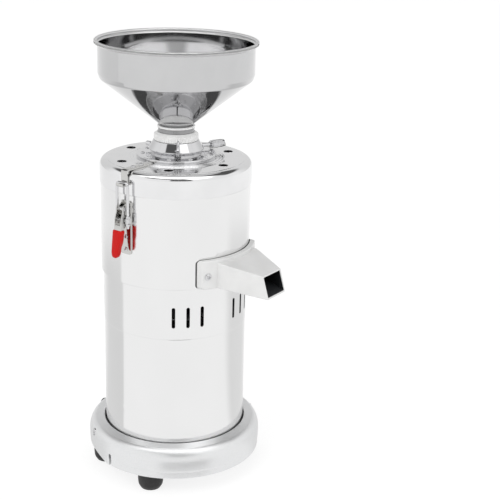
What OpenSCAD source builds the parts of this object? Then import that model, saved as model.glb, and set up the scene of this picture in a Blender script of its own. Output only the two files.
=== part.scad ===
// Nut butter grinder: hopper, adjustable stone mill, spout, latched cover and upright motor on a cast base.
// Z is the spindle axis. Z = 0 is the bottom rim of the base casting, and the spout points to -Y.
// A piece at azimuth a sits at -Y turned by a degrees about Z.

/* [Base] */
// Radius of the base casting at its bottom rim
base_rim_r = 125.3; // [122:0.1:130]
// Height of the base casting
base_h = 46; // [42:0.5:50]
// How far the skirt swells beyond the rim
base_swell = 1.3; // [0.5:0.1:3]
// Height of the plain lip round the bottom of the skirt
lip_h = 9.5; // [6:0.5:12]
// Wall thickness of the casting at the rim
base_wall = 3.7; // [3.2:0.1:4]
// Gap between the casting's top opening and the motor shell
base_gap = 1.8; // [1:0.1:3]
// Height of the deck the motor stands on
deck_z = 30; // [26:0.5:32]
// Thickness of the deck
deck_t = 6; // [4:0.5:8]
// Height of the bottom plate's top face
plate_top_z = 8; // [7:0.5:10]
// Thickness of the bottom plate
plate_t = 2; // [1.5:0.1:3]
// Azimuth of one base side screw, the other is opposite
side_screw_az = -123; // [-130:1:-115]
// Height of the base side screws
side_screw_z = 33; // [31:0.5:35]
// Azimuth of the notch in the bottom rim
notch_az = -100.5; // [-106:0.5:-95]
// Width of the rim notch
notch_w = 5; // [3:0.5:8]
// Height of the rim notch
notch_h = 19; // [12:0.5:22]
// Azimuth of one arch in the bottom rim above a rear foot, the other is its mirror image
arch_az = -126; // [-130:1:-120]
// Height of the arch
arch_h = 7.8; // [4:0.2:7.8]
// Width of the arch at the bottom rim
arch_w = 96; // [60:2:100]

/* [Feet] */
// How far the feet reach below the rim
foot_drop = 26.4; // [20:0.1:30]
// Radius of a rubber foot
foot_r = 18.4; // [16:0.1:18.4]
// Radius of the flat a foot stands on
foot_sole_r = 14; // [12:0.5:16]
// How far the middle of a foot stands in from the rim
foot_inset = 22.6; // [22.6:0.1:29]
// Radius of a foot screw's shank
foot_screw_r = 3; // [2.5:0.5:4]

/* [Motor shell] */
// Outer radius of the lower motor shell
shell_r = 102.4; // [101:0.1:103]
// Step from the shell out to the vented upper shroud
shroud_step = 0.6; // [0.2:0.1:1.6]
// Sheet thickness of the shell and the shroud
shell_t = 1.5; // [1:0.1:1.8]
// Gap between the stator core and the shell
stator_gap = 18.4; // [16.4:0.5:22.4]
// Height of the joint between the shell and the shroud
shroud_z = 204.4; // [200:0.1:208]
// Height of the bead rolled into the lower shell
bead_z = 86; // [80:1:95]
// Height of the lower ends of the vent slots
vent_z = 221.7; // [218:0.1:226]
// Length of a vent slot
vent_h = 30.4; // [20:0.1:34]
// Width of a vent slot
vent_w = 5; // [3:0.1:6]
// Angle from one vent slot to the next
vent_step = 11.3; // [9:0.1:13]

/* [Grinding chamber] */
// Height of the bottom edge of the polished casing
casing_z = 278.8; // [276:0.1:282]
// Step from the shroud out to the polished casing
casing_step = 3; // [2.5:0.1:3]
// Sheet thickness of the casing
casing_t = 1.2; // [0.8:0.1:1.2]
// Height of the chamber floor
floor_z = 288; // [286:0.5:290]
// Wall thickness of the grinding chamber inside the casing
chamber_wall = 4.2; // [3.7:0.1:5.7]
// Height of the chamber's top edge
chamber_top_z = 404; // [402:0.5:405]

/* [Cover] */
// Step from the casing out to the cover
cover_step = 1.3; // [1.3:0.1:2]
// Height of the bottom edge of the cover
cover_z = 407.6; // [406.8:0.1:408]
// Height of the cover's flat top
cover_top_z = 441.1; // [438:0.1:444]
// Sheet thickness of the cover
cover_t = 1.2; // [1:0.1:1.2]
// Width of the cover's rounded shoulder
shoulder_w = 10.3; // [8.3:0.5:13.3]
// Radius of the circle of round holes in the cover
cover_hole_circle_r = 81; // [78:0.5:84]
// Radius of a round hole in the cover
cover_hole_r = 6.75; // [5:0.25:8]
// Outer radius of the stepped ring on the cover
ring_r = 55.7; // [54:0.1:57]
// Height of the stepped ring above the cover
ring_h = 6.1; // [5:0.1:7]
// Radius of the ring's bore that the collar turns in
ring_bore_r = 36; // [35:0.5:37]
// Number of screws in the stepped ring
ring_screws_n = 10; // [6:1:12]

/* [Fineness adjustment] */
// Height of the adjusting collar above the stepped ring
collar_h = 18.9; // [17:0.1:20]
// Widest radius of the collar
collar_r = 38.8; // [37:0.1:40]
// Radius of the collar's top edge
collar_top_r = 32; // [31:0.1:33]
// Radius of the bore down the collar's top, where the hopper's coupling plugs in
collar_bore_r = 26.5; // [26:0.1:27]
// Radius of the thread between the collar and the stone sleeve
thread_r = 30; // [29.5:0.1:30.5]
// Travel of the upper stone for one turn of the collar
thread_pitch = 2; // [1:0.5:3]
// Radius of the feed throat
throat_r = 20; // [18:0.5:21]
// Azimuth of the adjusting handle
handle_az = 65; // [60:1:70]
// Distance of the handle knob's outer end from the spindle axis
handle_reach = 77; // [70:1:80]
// Angle that the lock lever is swung up by at rest
lock_lever_tilt = 62; // [50:1:70]
// Length of the lock lever
lock_lever_len = 24; // [18:1:28]

/* [Stones and spindle] */
// Outer radius of both grinding stones
stone_r = 74; // [68:0.5:78]
// Height of the grinding gap
gap_z = 380; // [376:0.5:384]
// Grinding gap at rest
stone_gap = 0.5; // [0.45:0.05:1]
// Thickness of each stone
stone_t = 16; // [12:0.5:16]
// Radius of the spindle
shaft_r = 10; // [9:0.5:11]
// Radial running clearance of a shaft or pin in its hole
running_gap = 0.05; // [0.02:0.01:0.1]

/* [Motor] */
// Bore radius of the stator core
stator_bore_r = 50; // [46:0.5:52]
// Height of the stator core's lower face
stator_z = 92; // [88:0.5:96]
// Height of the stator core
stator_h = 80; // [60:1:84]
// Number of slots in the stator core
stator_slots = 24; // [18:6:24]
// Air gap between rotor and stator
air_gap = 0.5; // [0.3:0.1:1]
// Gap between the cooling fan and the shroud
fan_gap = 19; // [17:1:27]
// Number of fan blades
fan_blades = 12; // [8:1:16]
// Outer radius of a spindle bearing
bearing_r = 23.5; // [22:0.5:26]
// Height of a spindle bearing
bearing_h = 14; // [12:0.5:16]

/* [Spout] */
// Distance of the mouth's upper edge from the spindle axis
mouth_top_y = 165.4; // [150:0.1:172]
// Distance of the mouth's lower edge from the spindle axis
mouth_low_y = 174; // [156:0.5:178]
// Half the width of the spout at its mouth
mouth_half_w = 21; // [16:0.5:26]
// Half the width of the spout where it leaves the flange
root_half_w = 44.4; // [40:0.5:48]
// Height of the spout's top edge at its mouth
mouth_top_z = 302.5; // [298:0.5:306]
// Height of the spout's top edge at the flange
root_top_z = 316; // [310:0.5:317]
// Height of the spout's underside at its mouth
mouth_low_z = 272.5; // [267:0.5:273]
// Height of the spout's underside at the flange
root_low_z = 279.8; // [279.4:0.2:281]
// Wall thickness of the spout
spout_t = 2.5; // [2:0.1:3]
// Half the angle that the flange wraps round the casing
flange_half_angle = 34.5; // [34:0.5:40]
// Height of the flange
flange_h = 41.4; // [40.5:0.1:42]
// Thickness of the flange
flange_t = 7; // [5:0.5:8]
// Azimuth of the flange screws, one on each side
flange_screw_az = 30; // [28:0.5:31]

/* [Latches] */
// Azimuth of the first latch, the other is opposite
latch_az = -92; // [-94:1:-88]
// Radius of the U-bolt's wire
wire_r = 2; // [1.6:0.1:2.1]
// Distance of the U-bolt's legs from the middle of the latch
leg_x = 9.5; // [9.3:0.1:10]
// Distance of the U-bolt out from the casing
bolt_gap = 8; // [7.8:0.1:8.2]
// Height of the pin that the handle swings on
pivot_z = 390; // [388:0.5:391]
// Distance from the handle's pivot to the trunnion
crank_len = 16; // [15.5:0.1:16.5]
// Angle by which the closed latch is past its dead centre
over_centre = 4; // [3:0.5:4]
// Height of the lower end of the red grip
grip_low_z = 323; // [318:1:328]
// Height of the upper end of the red grip
grip_top_z = 361.5; // [358:0.5:364]
// Half the width of the grip at its top
grip_half_w = 8.4; // [8:0.1:10]
// Half the width of the strap that the latch pulls on
strap_half_w = 5.5; // [5:0.5:6.5]
// Thickness of the strap
strap_t = 2.5; // [2:0.1:2.5]

/* [Hopper] */
// Radius of the hopper's upright band
hopper_r = 108.3; // [104:0.1:112]
// Height of the hopper's rolled rim
hopper_top_z = 605.1; // [600:0.5:610]
// Height of the hopper's knuckle above the neck flange
knuckle_h = 69.5; // [66:0.5:74]
// Outer radius of the rolled rim
rim_r = 113.4; // [112:0.1:115]
// Sheet thickness of the hopper
hopper_t = 1; // [0.8:0.1:1.5]
// Radius of the hopper's neck
neck_r = 23.2; // [22.5:0.1:23.3]
// Radius of the ribbed coupling ring under the hopper
coupling_r = 31.3; // [30.5:0.1:31.8]
// Height of the ribbed coupling ring
coupling_h = 11.2; // [10:0.2:12]
// Number of ribs round the coupling
coupling_ribs = 48; // [24:1:60]

/* [Switch and cord] */
// Height of the middle of the rocker switch at the rear
switch_z = 64; // [64:0.5:66]
// Width of the rocker
rocker_w = 14; // [12:1:18]
// Height of the rocker
rocker_h = 22; // [18:1:26]
// Angle of the rocker in its off position
rocker_tilt = 8; // [6:1:10]
// Height of the cord gland at the rear of the base
gland_z = 20; // [19:0.5:21]
// Radius of the gland's bore for the supply cord
gland_bore_r = 4.2; // [3.5:0.1:4.5]

/* [Hidden] */
$fn = 96;
tiny = 0.01;
seat = 0.05;

shroud_r = shell_r + shroud_step;
casing_r = shroud_r + casing_step;
chamber_r = casing_r - casing_t - 0.1 - chamber_wall;
cover_r = casing_r + cover_step;
cover_flat_r = cover_r - shoulder_w;
stator_r = shell_r - stator_gap;
fan_r = shroud_r - fan_gap;
bolt_y = casing_r + bolt_gap;

deck_low_z = deck_z - deck_t;
opening_r = shell_r + base_gap;
deck_hole_r = opening_r - 42.2;
foot_circle_r = base_rim_r - foot_inset;
rim_inner_r = base_rim_r - base_wall;
ledge_r = rim_inner_r - 3;
plate_r = rim_inner_r - 0.3;
foot_azimuths = [-72.3, -137.1, 42.9, 107.7];
skirt_z = 24;
shoulder_power = 2.5;
vent_middles = [-43, 11.3, 107, -149.6];

ring_top_z = cover_top_z + ring_h;
collar_top_z = ring_top_z + collar_h;
collar_wide_z = collar_top_z - 11.7;
thread_gap = running_gap;
sleeve_r = thread_r - thread_gap;
stone_top_z = gap_z + stone_t;
carrier_t = 8;
rotor_top_z = gap_z - stone_gap;
rotor_low_z = rotor_top_z - stone_t;
plate_disc_t = 8;
rotor_plate_z = rotor_low_z - plate_disc_t;
core_plate_z = chamber_top_z + 2.5;
core_plate_t = 8;
coupling_z = collar_top_z + 0.2;
coupling_top_z = coupling_z + coupling_h;
neck_flange_z = coupling_top_z + 6;
knuckle_z = neck_flange_z + knuckle_h;
casing_top_z = cover_z + 2;
flange_low_z = casing_z + 0.8;
flange_mid_z = flange_low_z + flange_h / 2;
gasket_t = 1.2;
flange_in_r = casing_r + gasket_t;
flange_out_r = flange_in_r + flange_t;
flange_half_w = flange_out_r * sin(flange_half_angle);
gasket_edge = 0.8;
lower_bearing_z = deck_z + 10;
bell_rim_t = 5;
upper_flange_z = stator_z + stator_h + 34;
upper_flange_t = 8;
fan_z = upper_flange_z + 20;
tie_circle_r = shell_r - 7.4;
bearing_hub_r = bearing_r + 10.5;
guide_pin_r = 4;
guide_circle_r = stone_r - 12;
ridge_r = [ring_r + 3.4, ring_r + 7.8];
scraper_r = chamber_r - 5;
side_screw_seat_r = skirt_r(side_screw_z) - 1.2;

trunnion_z = pivot_z - crank_len * cos(over_centre);
pivot_y = bolt_y + crank_len * sin(over_centre);
hook_floor_z = cover_top_z - 17.6;
bar_z = hook_floor_z + wire_r + 0.3;
ear_x = 2.9;
ear_t = 1.5;
side_x = ear_x + ear_t + 0.3;
side_t = 1.4;
pivot_r = 2.5;
trunnion_r = 2.8;
arm_end = [bolt_y + 13.6, grip_top_z - 17];
arm_out_y = bolt_y + 10.5;
arm_in_y = bolt_y + 4.8;
bracket_screw_z = [331, 349];
strap_screw_r = [cover_r - 31.6, cover_r - 14.9];

handle_z = ring_top_z + 5.8;
lock_az = handle_az - 115;
lock_screw_az = handle_az + 127;
lock_pivot_y = collar_r + 1;
lock_pivot_z = collar_wide_z - 0.9;

// Places its children at azimuth a, distance r and height z, with -Y pointing outwards
module at(a, r = 0, z = 0) rotate([0, 0, a]) translate([0, -r, z]) children();

// A cylinder that runs outwards from distance r0 to distance r1 at height z
module radial(a, r0, r1, z, r) at(a, r0, z) rotate([90, 0, 0]) cylinder(h = r1 - r0, r = r);

// A tube from z0 to z1
module tube(r_out, r_in, z0, z1) translate([0, 0, z0]) difference() {
    cylinder(h = z1 - z0, r = r_out);
    translate([0, 0, -1]) cylinder(h = z1 - z0 + 2, r = r_in);
}

// A rectangle with round corners, drawn about its middle
module round_rect(w, h, r) {
    square([w - 2 * r, h], center = true);
    square([w, h - 2 * r], center = true);
    for (x = [-1, 1], y = [-1, 1]) translate([x * (w / 2 - r), y * (h / 2 - r)]) circle(r = r, $fn = 32);
}

// Round-headed screw along +Z, its head above z = 0 and its shank below
module pan_screw(head_r, head_h, shank_r, shank_l) {
    rotate_extrude($fn = 32) polygon([[0, 0], [head_r, 0], [head_r, head_h * 0.4],
        [head_r * 0.75, head_h * 0.85], [head_r * 0.4, head_h], [0, head_h]]);
    translate([0, 0, -shank_l]) cylinder(h = shank_l + tiny, r = shank_r, $fn = 32);
}

// Cuts a cross in the head of a screw that stands along +Z
module cross_cut(head_r, head_h) for (a = [0, 90]) rotate([0, 0, a])
    translate([0, 0, head_h]) cube([head_r * 1.2, head_r * 0.25, head_h * 0.8], center = true);

module cross_screw(head_r, head_h, shank_r, shank_l) difference() {
    pan_screw(head_r, head_h, shank_r, shank_l);
    cross_cut(head_r, head_h);
}

// Radius of the skirt at height z: a swelling side, then a rounded shoulder
function skirt_r(z) = z < skirt_z
    ? base_rim_r + base_swell * (1 - pow((skirt_z - z) / skirt_z, 2))
    : opening_r + (base_rim_r + base_swell - opening_r)
        * pow(1 - pow((z - skirt_z) / (base_h - skirt_z), shoulder_power), 1 / shoulder_power);

// ---- Base ----

// A flat arch through the skirt's wall, the top of a large cylinder that lies along the radius
module rim_arch(a) intersection() {
    radius = (arch_w * arch_w / 4 + arch_h * arch_h) / (2 * arch_h);
    radial(a, base_rim_r / 2, base_rim_r + 4, arch_h - radius, radius);
    tube(base_rim_r + 3, rim_inner_r - 0.2, -1, arch_h + 1);
}

module base_casting() color("silver") {
    cavity = [for (t = [0 : 7]) let (z = skirt_z + (base_h - 5 - skirt_z) * t / 7)
        [opening_r + 4 + (rim_inner_r + base_swell - opening_r - 4)
            * pow(1 - pow((z - skirt_z) / (base_h - 5 - skirt_z), shoulder_power), 1 / shoulder_power), z]];
    difference() {
        union() {
            rotate_extrude() difference() {
                polygon(concat([[ledge_r, plate_top_z], [rim_inner_r, plate_top_z], [rim_inner_r, 0],
                    [base_rim_r + 0.5, 0],
                    [base_rim_r + 0.5, lip_h], [skirt_r(lip_h), lip_h + 0.6]],
                    [for (t = [14, 19, 24, 28, 31, 34, 37, 39.5, 41.5, 43, 44.2, 45, 45.5, 45.8])
                        let (z = base_h * t / 46) [skirt_r(z), z]],
                    [[opening_r + 2, base_h], [opening_r, base_h - 0.7], [opening_r, deck_z],
                    [deck_hole_r, deck_z], [deck_hole_r, deck_low_z], [opening_r - 3.2, deck_low_z],
                    [ledge_r, plate_top_z + 4]]));
                polygon(concat(cavity, [[opening_r + 4, deck_z], [ledge_r - 1, plate_top_z + 8],
                    [ledge_r + 1, plate_top_z + 4], [rim_inner_r, plate_top_z + 7]]));
            }
            radial(180, opening_r + 8, base_rim_r + base_swell + 1.2, gland_z, 11.9);
        }
        at(notch_az, base_rim_r - 1) translate([-notch_w / 2, -4, -1])
            cube([notch_w, 8, notch_h - notch_w / 2 + 1]);
        radial(notch_az, base_rim_r - 5, base_rim_r + 5, notch_h - notch_w / 2, notch_w / 2);
        for (s = [-1, 1]) rim_arch(s * arch_az);
        for (k = [0, 1]) radial(side_screw_az + 180 * k, opening_r - 2, base_rim_r + 9, side_screw_z, 2.5);
        for (k = [0, 1])
            radial(side_screw_az + 180 * k, side_screw_seat_r, base_rim_r + 9, side_screw_z, 5.5);
        radial(180, opening_r, base_rim_r + 9, gland_z, 8 + seat);
        for (k = [0 : 3])
            at(45 + 90 * k, tie_circle_r, deck_low_z - 1) cylinder(h = deck_t + 2, r = 3.2, $fn = 32);
        for (k = [0 : 5])
            at(60 * k, deck_hole_r + 16, deck_low_z - 1) cylinder(h = deck_t + 2, r = 8, $fn = 48);
    }
}

module bottom_plate() color("dimgray") difference() {
    translate([0, 0, plate_top_z - plate_t]) cylinder(h = plate_t, r = plate_r);
    for (a = foot_azimuths) at(a, foot_circle_r, plate_top_z - plate_t - 1)
        cylinder(h = plate_t + 2, r = foot_screw_r + 0.2);
    for (k = [0 : 23]) at(15 * k, 65, plate_top_z - plate_t - 1) translate([-1.6, -13, 0])
        cube([3.2, 26, plate_t + 2]);
    for (y = [-18, 18])
        translate([0, y, plate_top_z - plate_t - 1]) cylinder(h = plate_t + 2, r = 2, $fn = 32);
}

// Two long screws through the skirt that centre and hold the motor shell
module base_side_screws() color("gainsboro") for (k = [0, 1])
    at(side_screw_az + 180 * k, side_screw_seat_r, side_screw_z) rotate([90, 0, 0])
        cross_screw(4.6, 2.6, 2, side_screw_seat_r - shell_r + shell_t - seat);

module rubber_feet() color("black") for (a = foot_azimuths) at(a, foot_circle_r) rotate_extrude()
    polygon(concat([[foot_screw_r + 0.2, plate_top_z - plate_t], [foot_screw_r + 0.2, 14 - foot_drop],
        [6.5, 14 - foot_drop], [6.5, -foot_drop], [foot_sole_r, -foot_drop]],
        [for (t = [15 : 15 : 90])
            [foot_sole_r + (foot_r - foot_sole_r) * sin(t), -foot_drop + 12 * (1 - cos(t))]],
        [[foot_r, plate_top_z - plate_t]]));

module foot_screws() color("darkgray") for (a = foot_azimuths)
    at(a, foot_circle_r, 14 - foot_drop) difference() {
    union() {
        translate([0, 0, -4]) cylinder(h = 4, r = 5.4);
        cylinder(h = foot_drop - 14 + plate_top_z + 6, r = foot_screw_r);
    }
    translate([0, 0, -5]) cylinder(h = 3, r = 3, $fn = 6);
}

module foot_nuts() color("darkgray") for (a = foot_azimuths) at(a, foot_circle_r, plate_top_z) difference() {
    cylinder(h = 5, r = 5.77, $fn = 6);
    translate([0, 0, -1]) cylinder(h = 7, r = foot_screw_r + 0.02);
}

module cord_gland() color("black") {
    face_y = base_rim_r + base_swell + 1.2;
    difference() {
        union() {
            radial(180, opening_r + 1.5, face_y + 1, gland_z, 8);
            at(180, face_y, gland_z) rotate([90, 0, 0]) cylinder(h = 5, r = 12, $fn = 6);
            radial(180, face_y + 5 - tiny, face_y + 13, gland_z, 8.5);
        }
        radial(180, opening_r, face_y + 14, gland_z, gland_bore_r);
    }
}

module run_capacitor() color("lightgray") translate([0, 0, plate_top_z + 10.5]) rotate([0, 90, 0]) {
    translate([0, 0, -30]) cylinder(h = 60, r = 10.45);
    for (y = [-4, 4]) translate([-1, y - 1, 30 - tiny]) cube([2, 2, 6]);
}

// Band over the capacitor, with a foot on each side
module capacitor_clip() color("silver") difference() {
    translate([-6, 0, plate_top_z + 10.5]) rotate([0, 90, 0]) union() {
        cylinder(h = 12, r = 11.5);
        translate([0, -11.5, 0]) cube([10.5, 23, 12]);
        translate([9.3, -22, 0]) cube([1.2, 44, 12]);
    }
    translate([-7, 0, plate_top_z + 10.5]) rotate([0, 90, 0]) {
        cylinder(h = 14, r = 10.5);
        translate([0, -10.5, 0]) cube([12, 21, 14]);
    }
    for (y = [-18, 18]) translate([0, y, plate_top_z - 1]) cylinder(h = 4, r = 2, $fn = 32);
}

// ---- Motor shell and switch ----

module motor_shell() color("whitesmoke") difference() {
    union() {
        tube(shell_r, shell_r - shell_t, deck_z, shroud_z);
        translate([0, 0, bead_z]) rotate_extrude() polygon([[shell_r - shell_t / 2, -2.5], [shell_r, -2.5],
            [shell_r + 0.45, -1], [shell_r + 0.45, 1], [shell_r, 2.5], [shell_r - shell_t / 2, 2.5]]);
    }
    at(180, shell_r - 6, switch_z) cube([rocker_w + 6, 20, rocker_h + 6], center = true);
    for (k = [0, 1]) radial(side_screw_az + 180 * k, shell_r - shell_t - 2, shell_r + 2, side_screw_z, 2.1);
}

// One vent slot with round ends
module vent_slot(a) at(a, shroud_r - 6, vent_z) rotate([90, 0, 0]) linear_extrude(12) {
    translate([-vent_w / 2, vent_w / 2]) square([vent_w, vent_h - vent_w]);
    for (z = [vent_w / 2, vent_h - vent_w / 2]) translate([0, z]) circle(d = vent_w, $fn = 24);
}

module vent_shroud() color("whitesmoke") difference() {
    tube(shroud_r, shroud_r - shell_t, shroud_z, casing_z);
    for (m = vent_middles, k = [-1 : 1]) vent_slot(m + k * vent_step);
}

module switch_frame() color("black") difference() {
    union() {
        at(180, shell_r + 1, switch_z) rotate([90, 0, 0]) translate([0, 0, -3]) linear_extrude(5)
            round_rect(rocker_w + 12, rocker_h + 12, 3);
        at(180, shell_r - 5.5, switch_z) cube([rocker_w + 5.6, 11, rocker_h + 5.6], center = true);
    }
    difference() {
        translate([0, 0, switch_z - 40]) cylinder(h = 80, r = shell_r + 0.02);
        at(180, shell_r - 5.5, switch_z) cube([rocker_w + 5.7, 12, rocker_h + 5.7], center = true);
    }
    at(180, shell_r + 2, switch_z) cube([rocker_w + 0.6, 22, rocker_h + 1], center = true);
}

// Rocker, tilted about the crosswise axis at its middle, in its off position
module switch_rocker() color("firebrick") at(180, shell_r - 2, switch_z) rotate([rocker_tilt, 0, 0])
    rotate([0, 90, 0])
        linear_extrude(rocker_w, center = true) polygon([[-rocker_h / 2 + 1, -4.4], [0, -5.6],
        [rocker_h / 2 - 1, -4.4], [rocker_h / 2 - 1.6, 2], [-rocker_h / 2 + 1.6, 2]]);

// ---- Motor ----

// Air openings through an end bell's flange
module bell_vents(z, t) for (k = [0 : 3], s = [-1 : 1]) at(90 * k + 25 * s, tie_circle_r, z - 1)
    translate([-9, -3, 0]) cube([18, 6, t + 2]);

module tie_holes(z, t) for (k = [0 : 3])
    at(45 + 90 * k, tie_circle_r, z - 1) cylinder(h = t + 2, r = 3 + seat, $fn = 32);

module lower_end_bell() color("darkgray") difference() {
    rotate_extrude() polygon([[bearing_r + seat, deck_z], [shell_r - shell_t - seat, deck_z],
        [shell_r - shell_t - seat, deck_z + 6], [stator_r + 6, deck_z + 6], [stator_r + 6, stator_z + 4],
        [stator_r + seat, stator_z + 4], [stator_r + seat, stator_z], [stator_r - bell_rim_t, stator_z],
        [stator_r - bell_rim_t, stator_z - 4], [stator_r + 1, stator_z - 10],
        [stator_r + 1, deck_z + 12], [bearing_hub_r, deck_z + 12],
        [bearing_hub_r, lower_bearing_z + bearing_h], [bearing_r + seat, lower_bearing_z + bearing_h]]);
    translate([0, 0, deck_z - 1]) difference() {
        cylinder(h = 11 + 1, r = bearing_r + 4.5);
        cylinder(h = 11 + 1, r = bearing_r - 3);
    }
    bell_vents(deck_z, 6);
    tie_holes(deck_z, 6);
    for (k = [0 : 5]) at(60 * k, bearing_hub_r + 21, deck_z - 1) cylinder(h = 14, r = 9, $fn = 48);
    for (k = [0 : 7]) radial(22.5 + 45 * k, stator_r - 8, stator_r + 10, stator_z - 22, 9);
}

module upper_end_bell() color("darkgray") {
    low = stator_z + stator_h;
    top = upper_flange_z + upper_flange_t;
    difference() {
        rotate_extrude() polygon([[stator_r - bell_rim_t, low], [stator_r + seat, low],
            [stator_r + seat, low - 4], [stator_r + 6, low - 4], [stator_r + 6, upper_flange_z],
            [shroud_r - shell_t - seat, upper_flange_z], [shroud_r - shell_t - seat, top],
            [bearing_r - 5, top], [bearing_r - 5, top - 2], [bearing_r + seat, top - 2],
            [bearing_r + seat, top - 2 - bearing_h], [bearing_hub_r, top - 2 - bearing_h],
            [bearing_hub_r, upper_flange_z], [stator_r + 1, upper_flange_z],
            [stator_r + 1, low + 10], [stator_r - bell_rim_t, low + 4]]);
        bell_vents(upper_flange_z, upper_flange_t);
        tie_holes(upper_flange_z, upper_flange_t);
        for (k = [0 : 3])
            at(90 * k, tie_circle_r - 1, upper_flange_z + 2) cylinder(h = 7, r = 2.6, $fn = 32);
        for (k = [0 : 5])
            at(60 * k, bearing_hub_r + 22, upper_flange_z - 1)
                cylinder(h = upper_flange_t + 2, r = 9, $fn = 48);
        for (k = [0 : 7]) radial(22.5 + 45 * k, stator_r - 8, stator_r + 10, low + 17, 9);
    }
}

// Long bolts that clamp the stator between the end bells and hold the motor on the deck
module tie_bolts() color("gray") for (k = [0 : 3]) at(45 + 90 * k, tie_circle_r) {
    translate([0, 0, deck_low_z - 4])
        cylinder(h = upper_flange_z + upper_flange_t + 4 - deck_low_z + 4, r = 3, $fn = 32);
    translate([0, 0, upper_flange_z + upper_flange_t]) cylinder(h = 4, r = 5.5, $fn = 6);
    translate([0, 0, deck_low_z - 4]) cylinder(h = 4, r = 5.5, $fn = 6);
}

module slot_shape(grow) for (k = [0 : stator_slots - 1]) rotate([0, 0, k * 360 / stator_slots])
    translate([-2.5 - grow, -stator_bore_r - 18 - grow]) square([5 + 2 * grow, 15 + 2 * grow]);

module stator_core() color("slategray") translate([0, 0, stator_z]) linear_extrude(stator_h) difference() {
    circle(r = stator_r);
    circle(r = stator_bore_r);
    slot_shape(0.3);
}

// Copper in the slots and the end turns above and below the core
module stator_windings() color("peru") {
    translate([0, 0, stator_z - 6]) linear_extrude(stator_h + 12) slot_shape(0);
    for (z = [stator_z - 14, stator_z + stator_h + 4])
        tube(stator_bore_r + 22, stator_bore_r + 2.5, z, z + 10);
}

// A sealed ball bearing with its two shield grooves
module bearing(z) translate([0, 0, z]) difference() {
    cylinder(h = bearing_h, r = bearing_r);
    translate([0, 0, -1]) cylinder(h = bearing_h + 2, r = shaft_r + running_gap);
    for (s = [-0.01, bearing_h - 0.79]) translate([0, 0, s]) difference() {
        cylinder(h = 0.8, r = bearing_r - 3.5);
        translate([0, 0, -1]) cylinder(h = 3, r = shaft_r + 4);
    }
}

module lower_bearing() color("silver") bearing(lower_bearing_z);

module upper_bearing() color("silver") bearing(upper_flange_z + upper_flange_t - 2 - bearing_h);

// ---- Spindle ----

module spindle() color("lightsteelblue") {
    translate([0, 0, lower_bearing_z - 3]) cylinder(h = rotor_low_z - lower_bearing_z + 13, r = shaft_r);
    translate([0, 0, rotor_plate_z - 14]) cylinder(h = 4, r = shaft_r + 4);
    translate([0, 0, rotor_low_z + 10 - tiny]) cylinder(h = 14, r = 7);
}

module rotor_core() color("slategray") difference() {
    union() {
        tube(stator_bore_r - air_gap, shaft_r, stator_z, stator_z + stator_h);
        for (z = [stator_z - 8, stator_z + stator_h]) tube(stator_bore_r - 3, stator_bore_r - 18, z, z + 8);
    }
    for (k = [0 : 7]) at(45 * k, 25, stator_z - 1) cylinder(h = stator_h + 2, r = 5, $fn = 32);
}

module cooling_fan() color("dimgray") {
    tube(18, shaft_r, fan_z, fan_z + 16);
    tube(fan_r, 17, fan_z, fan_z + 2.5);
    for (k = [0 : fan_blades - 1])
        at(360 * k / fan_blades, 32, fan_z + 2) translate([-1, -fan_r + 33, 0]) cube([2, fan_r - 33, 16]);
}

// Hub with four arms that sweep the chamber floor and carry the paste to the spout
module discharge_scraper() color("silver") {
    tube(30, shaft_r, floor_z + 8, floor_z + 14);
    tube(18, shaft_r, floor_z + 14 - tiny, floor_z + 24);
    for (k = [0 : 3]) at(20 + 90 * k, 28, floor_z + 1) {
        translate([-3, -scraper_r + 28, 0]) cube([6, scraper_r - 28, 12]);
        translate([-3, -scraper_r + 28, 0]) cube([6, 8, 34]);
    }
}

module rotor_plate() color("lightgray") {
    tube(stone_r + 3, shaft_r, rotor_plate_z, rotor_low_z);
    tube(22, shaft_r, rotor_plate_z - 10, rotor_plate_z + tiny);
}

// Slanted grooves across a stone's face, from the eye towards the edge
module stone_grooves(z, turn) for (k = [0 : 11]) rotate([0, 0, turn + 30 * k])
    translate([14, -stone_r + 12, z]) cube([3, 42, 3], center = true);

module rotor_stone() color("dimgray") difference() {
    tube(stone_r, 24, rotor_low_z, rotor_top_z);
    stone_grooves(rotor_top_z, 8);
}

// Nut on the spindle's end, with four vanes that pull the nuts into the stones
module feed_nut() color("silver") {
    z = rotor_low_z + tiny;
    difference() {
        union() {
            translate([0, 0, z - tiny]) cylinder(h = 10, r = 23);
            translate([0, 0, z]) rotate_extrude() polygon([[0, 9], [14, 9], [11, 26], [6, 31], [0, 32]]);
            for (k = [0 : 3]) rotate([0, 0, 45 + 90 * k]) translate([-1.5, -17, z + 9]) cube([3, 17, 14]);
        }
        translate([0, 0, z - 1]) cylinder(h = 11, r = shaft_r);
        translate([0, 0, z]) cylinder(h = 24.1, r = 7);
    }
}

// ---- Grinding chamber ----

module bowl_posts() color("gray") for (k = [0 : 3]) at(90 * k, tie_circle_r - 1) {
    translate([0, 0, upper_flange_z + upper_flange_t])
        cylinder(h = casing_z - 3 - upper_flange_z - upper_flange_t, r = 5, $fn = 6);
    translate([0, 0, upper_flange_z + 3]) cylinder(h = casing_z - upper_flange_z, r = 2.5, $fn = 32);
}

// Cut through the chamber wall and the casing where the spout leaves
module spout_window(r0) translate([-38, -casing_r - 5, floor_z])
    cube([76, casing_r + 5 - r0, root_top_z - spout_t - floor_z - 0.5]);

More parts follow.
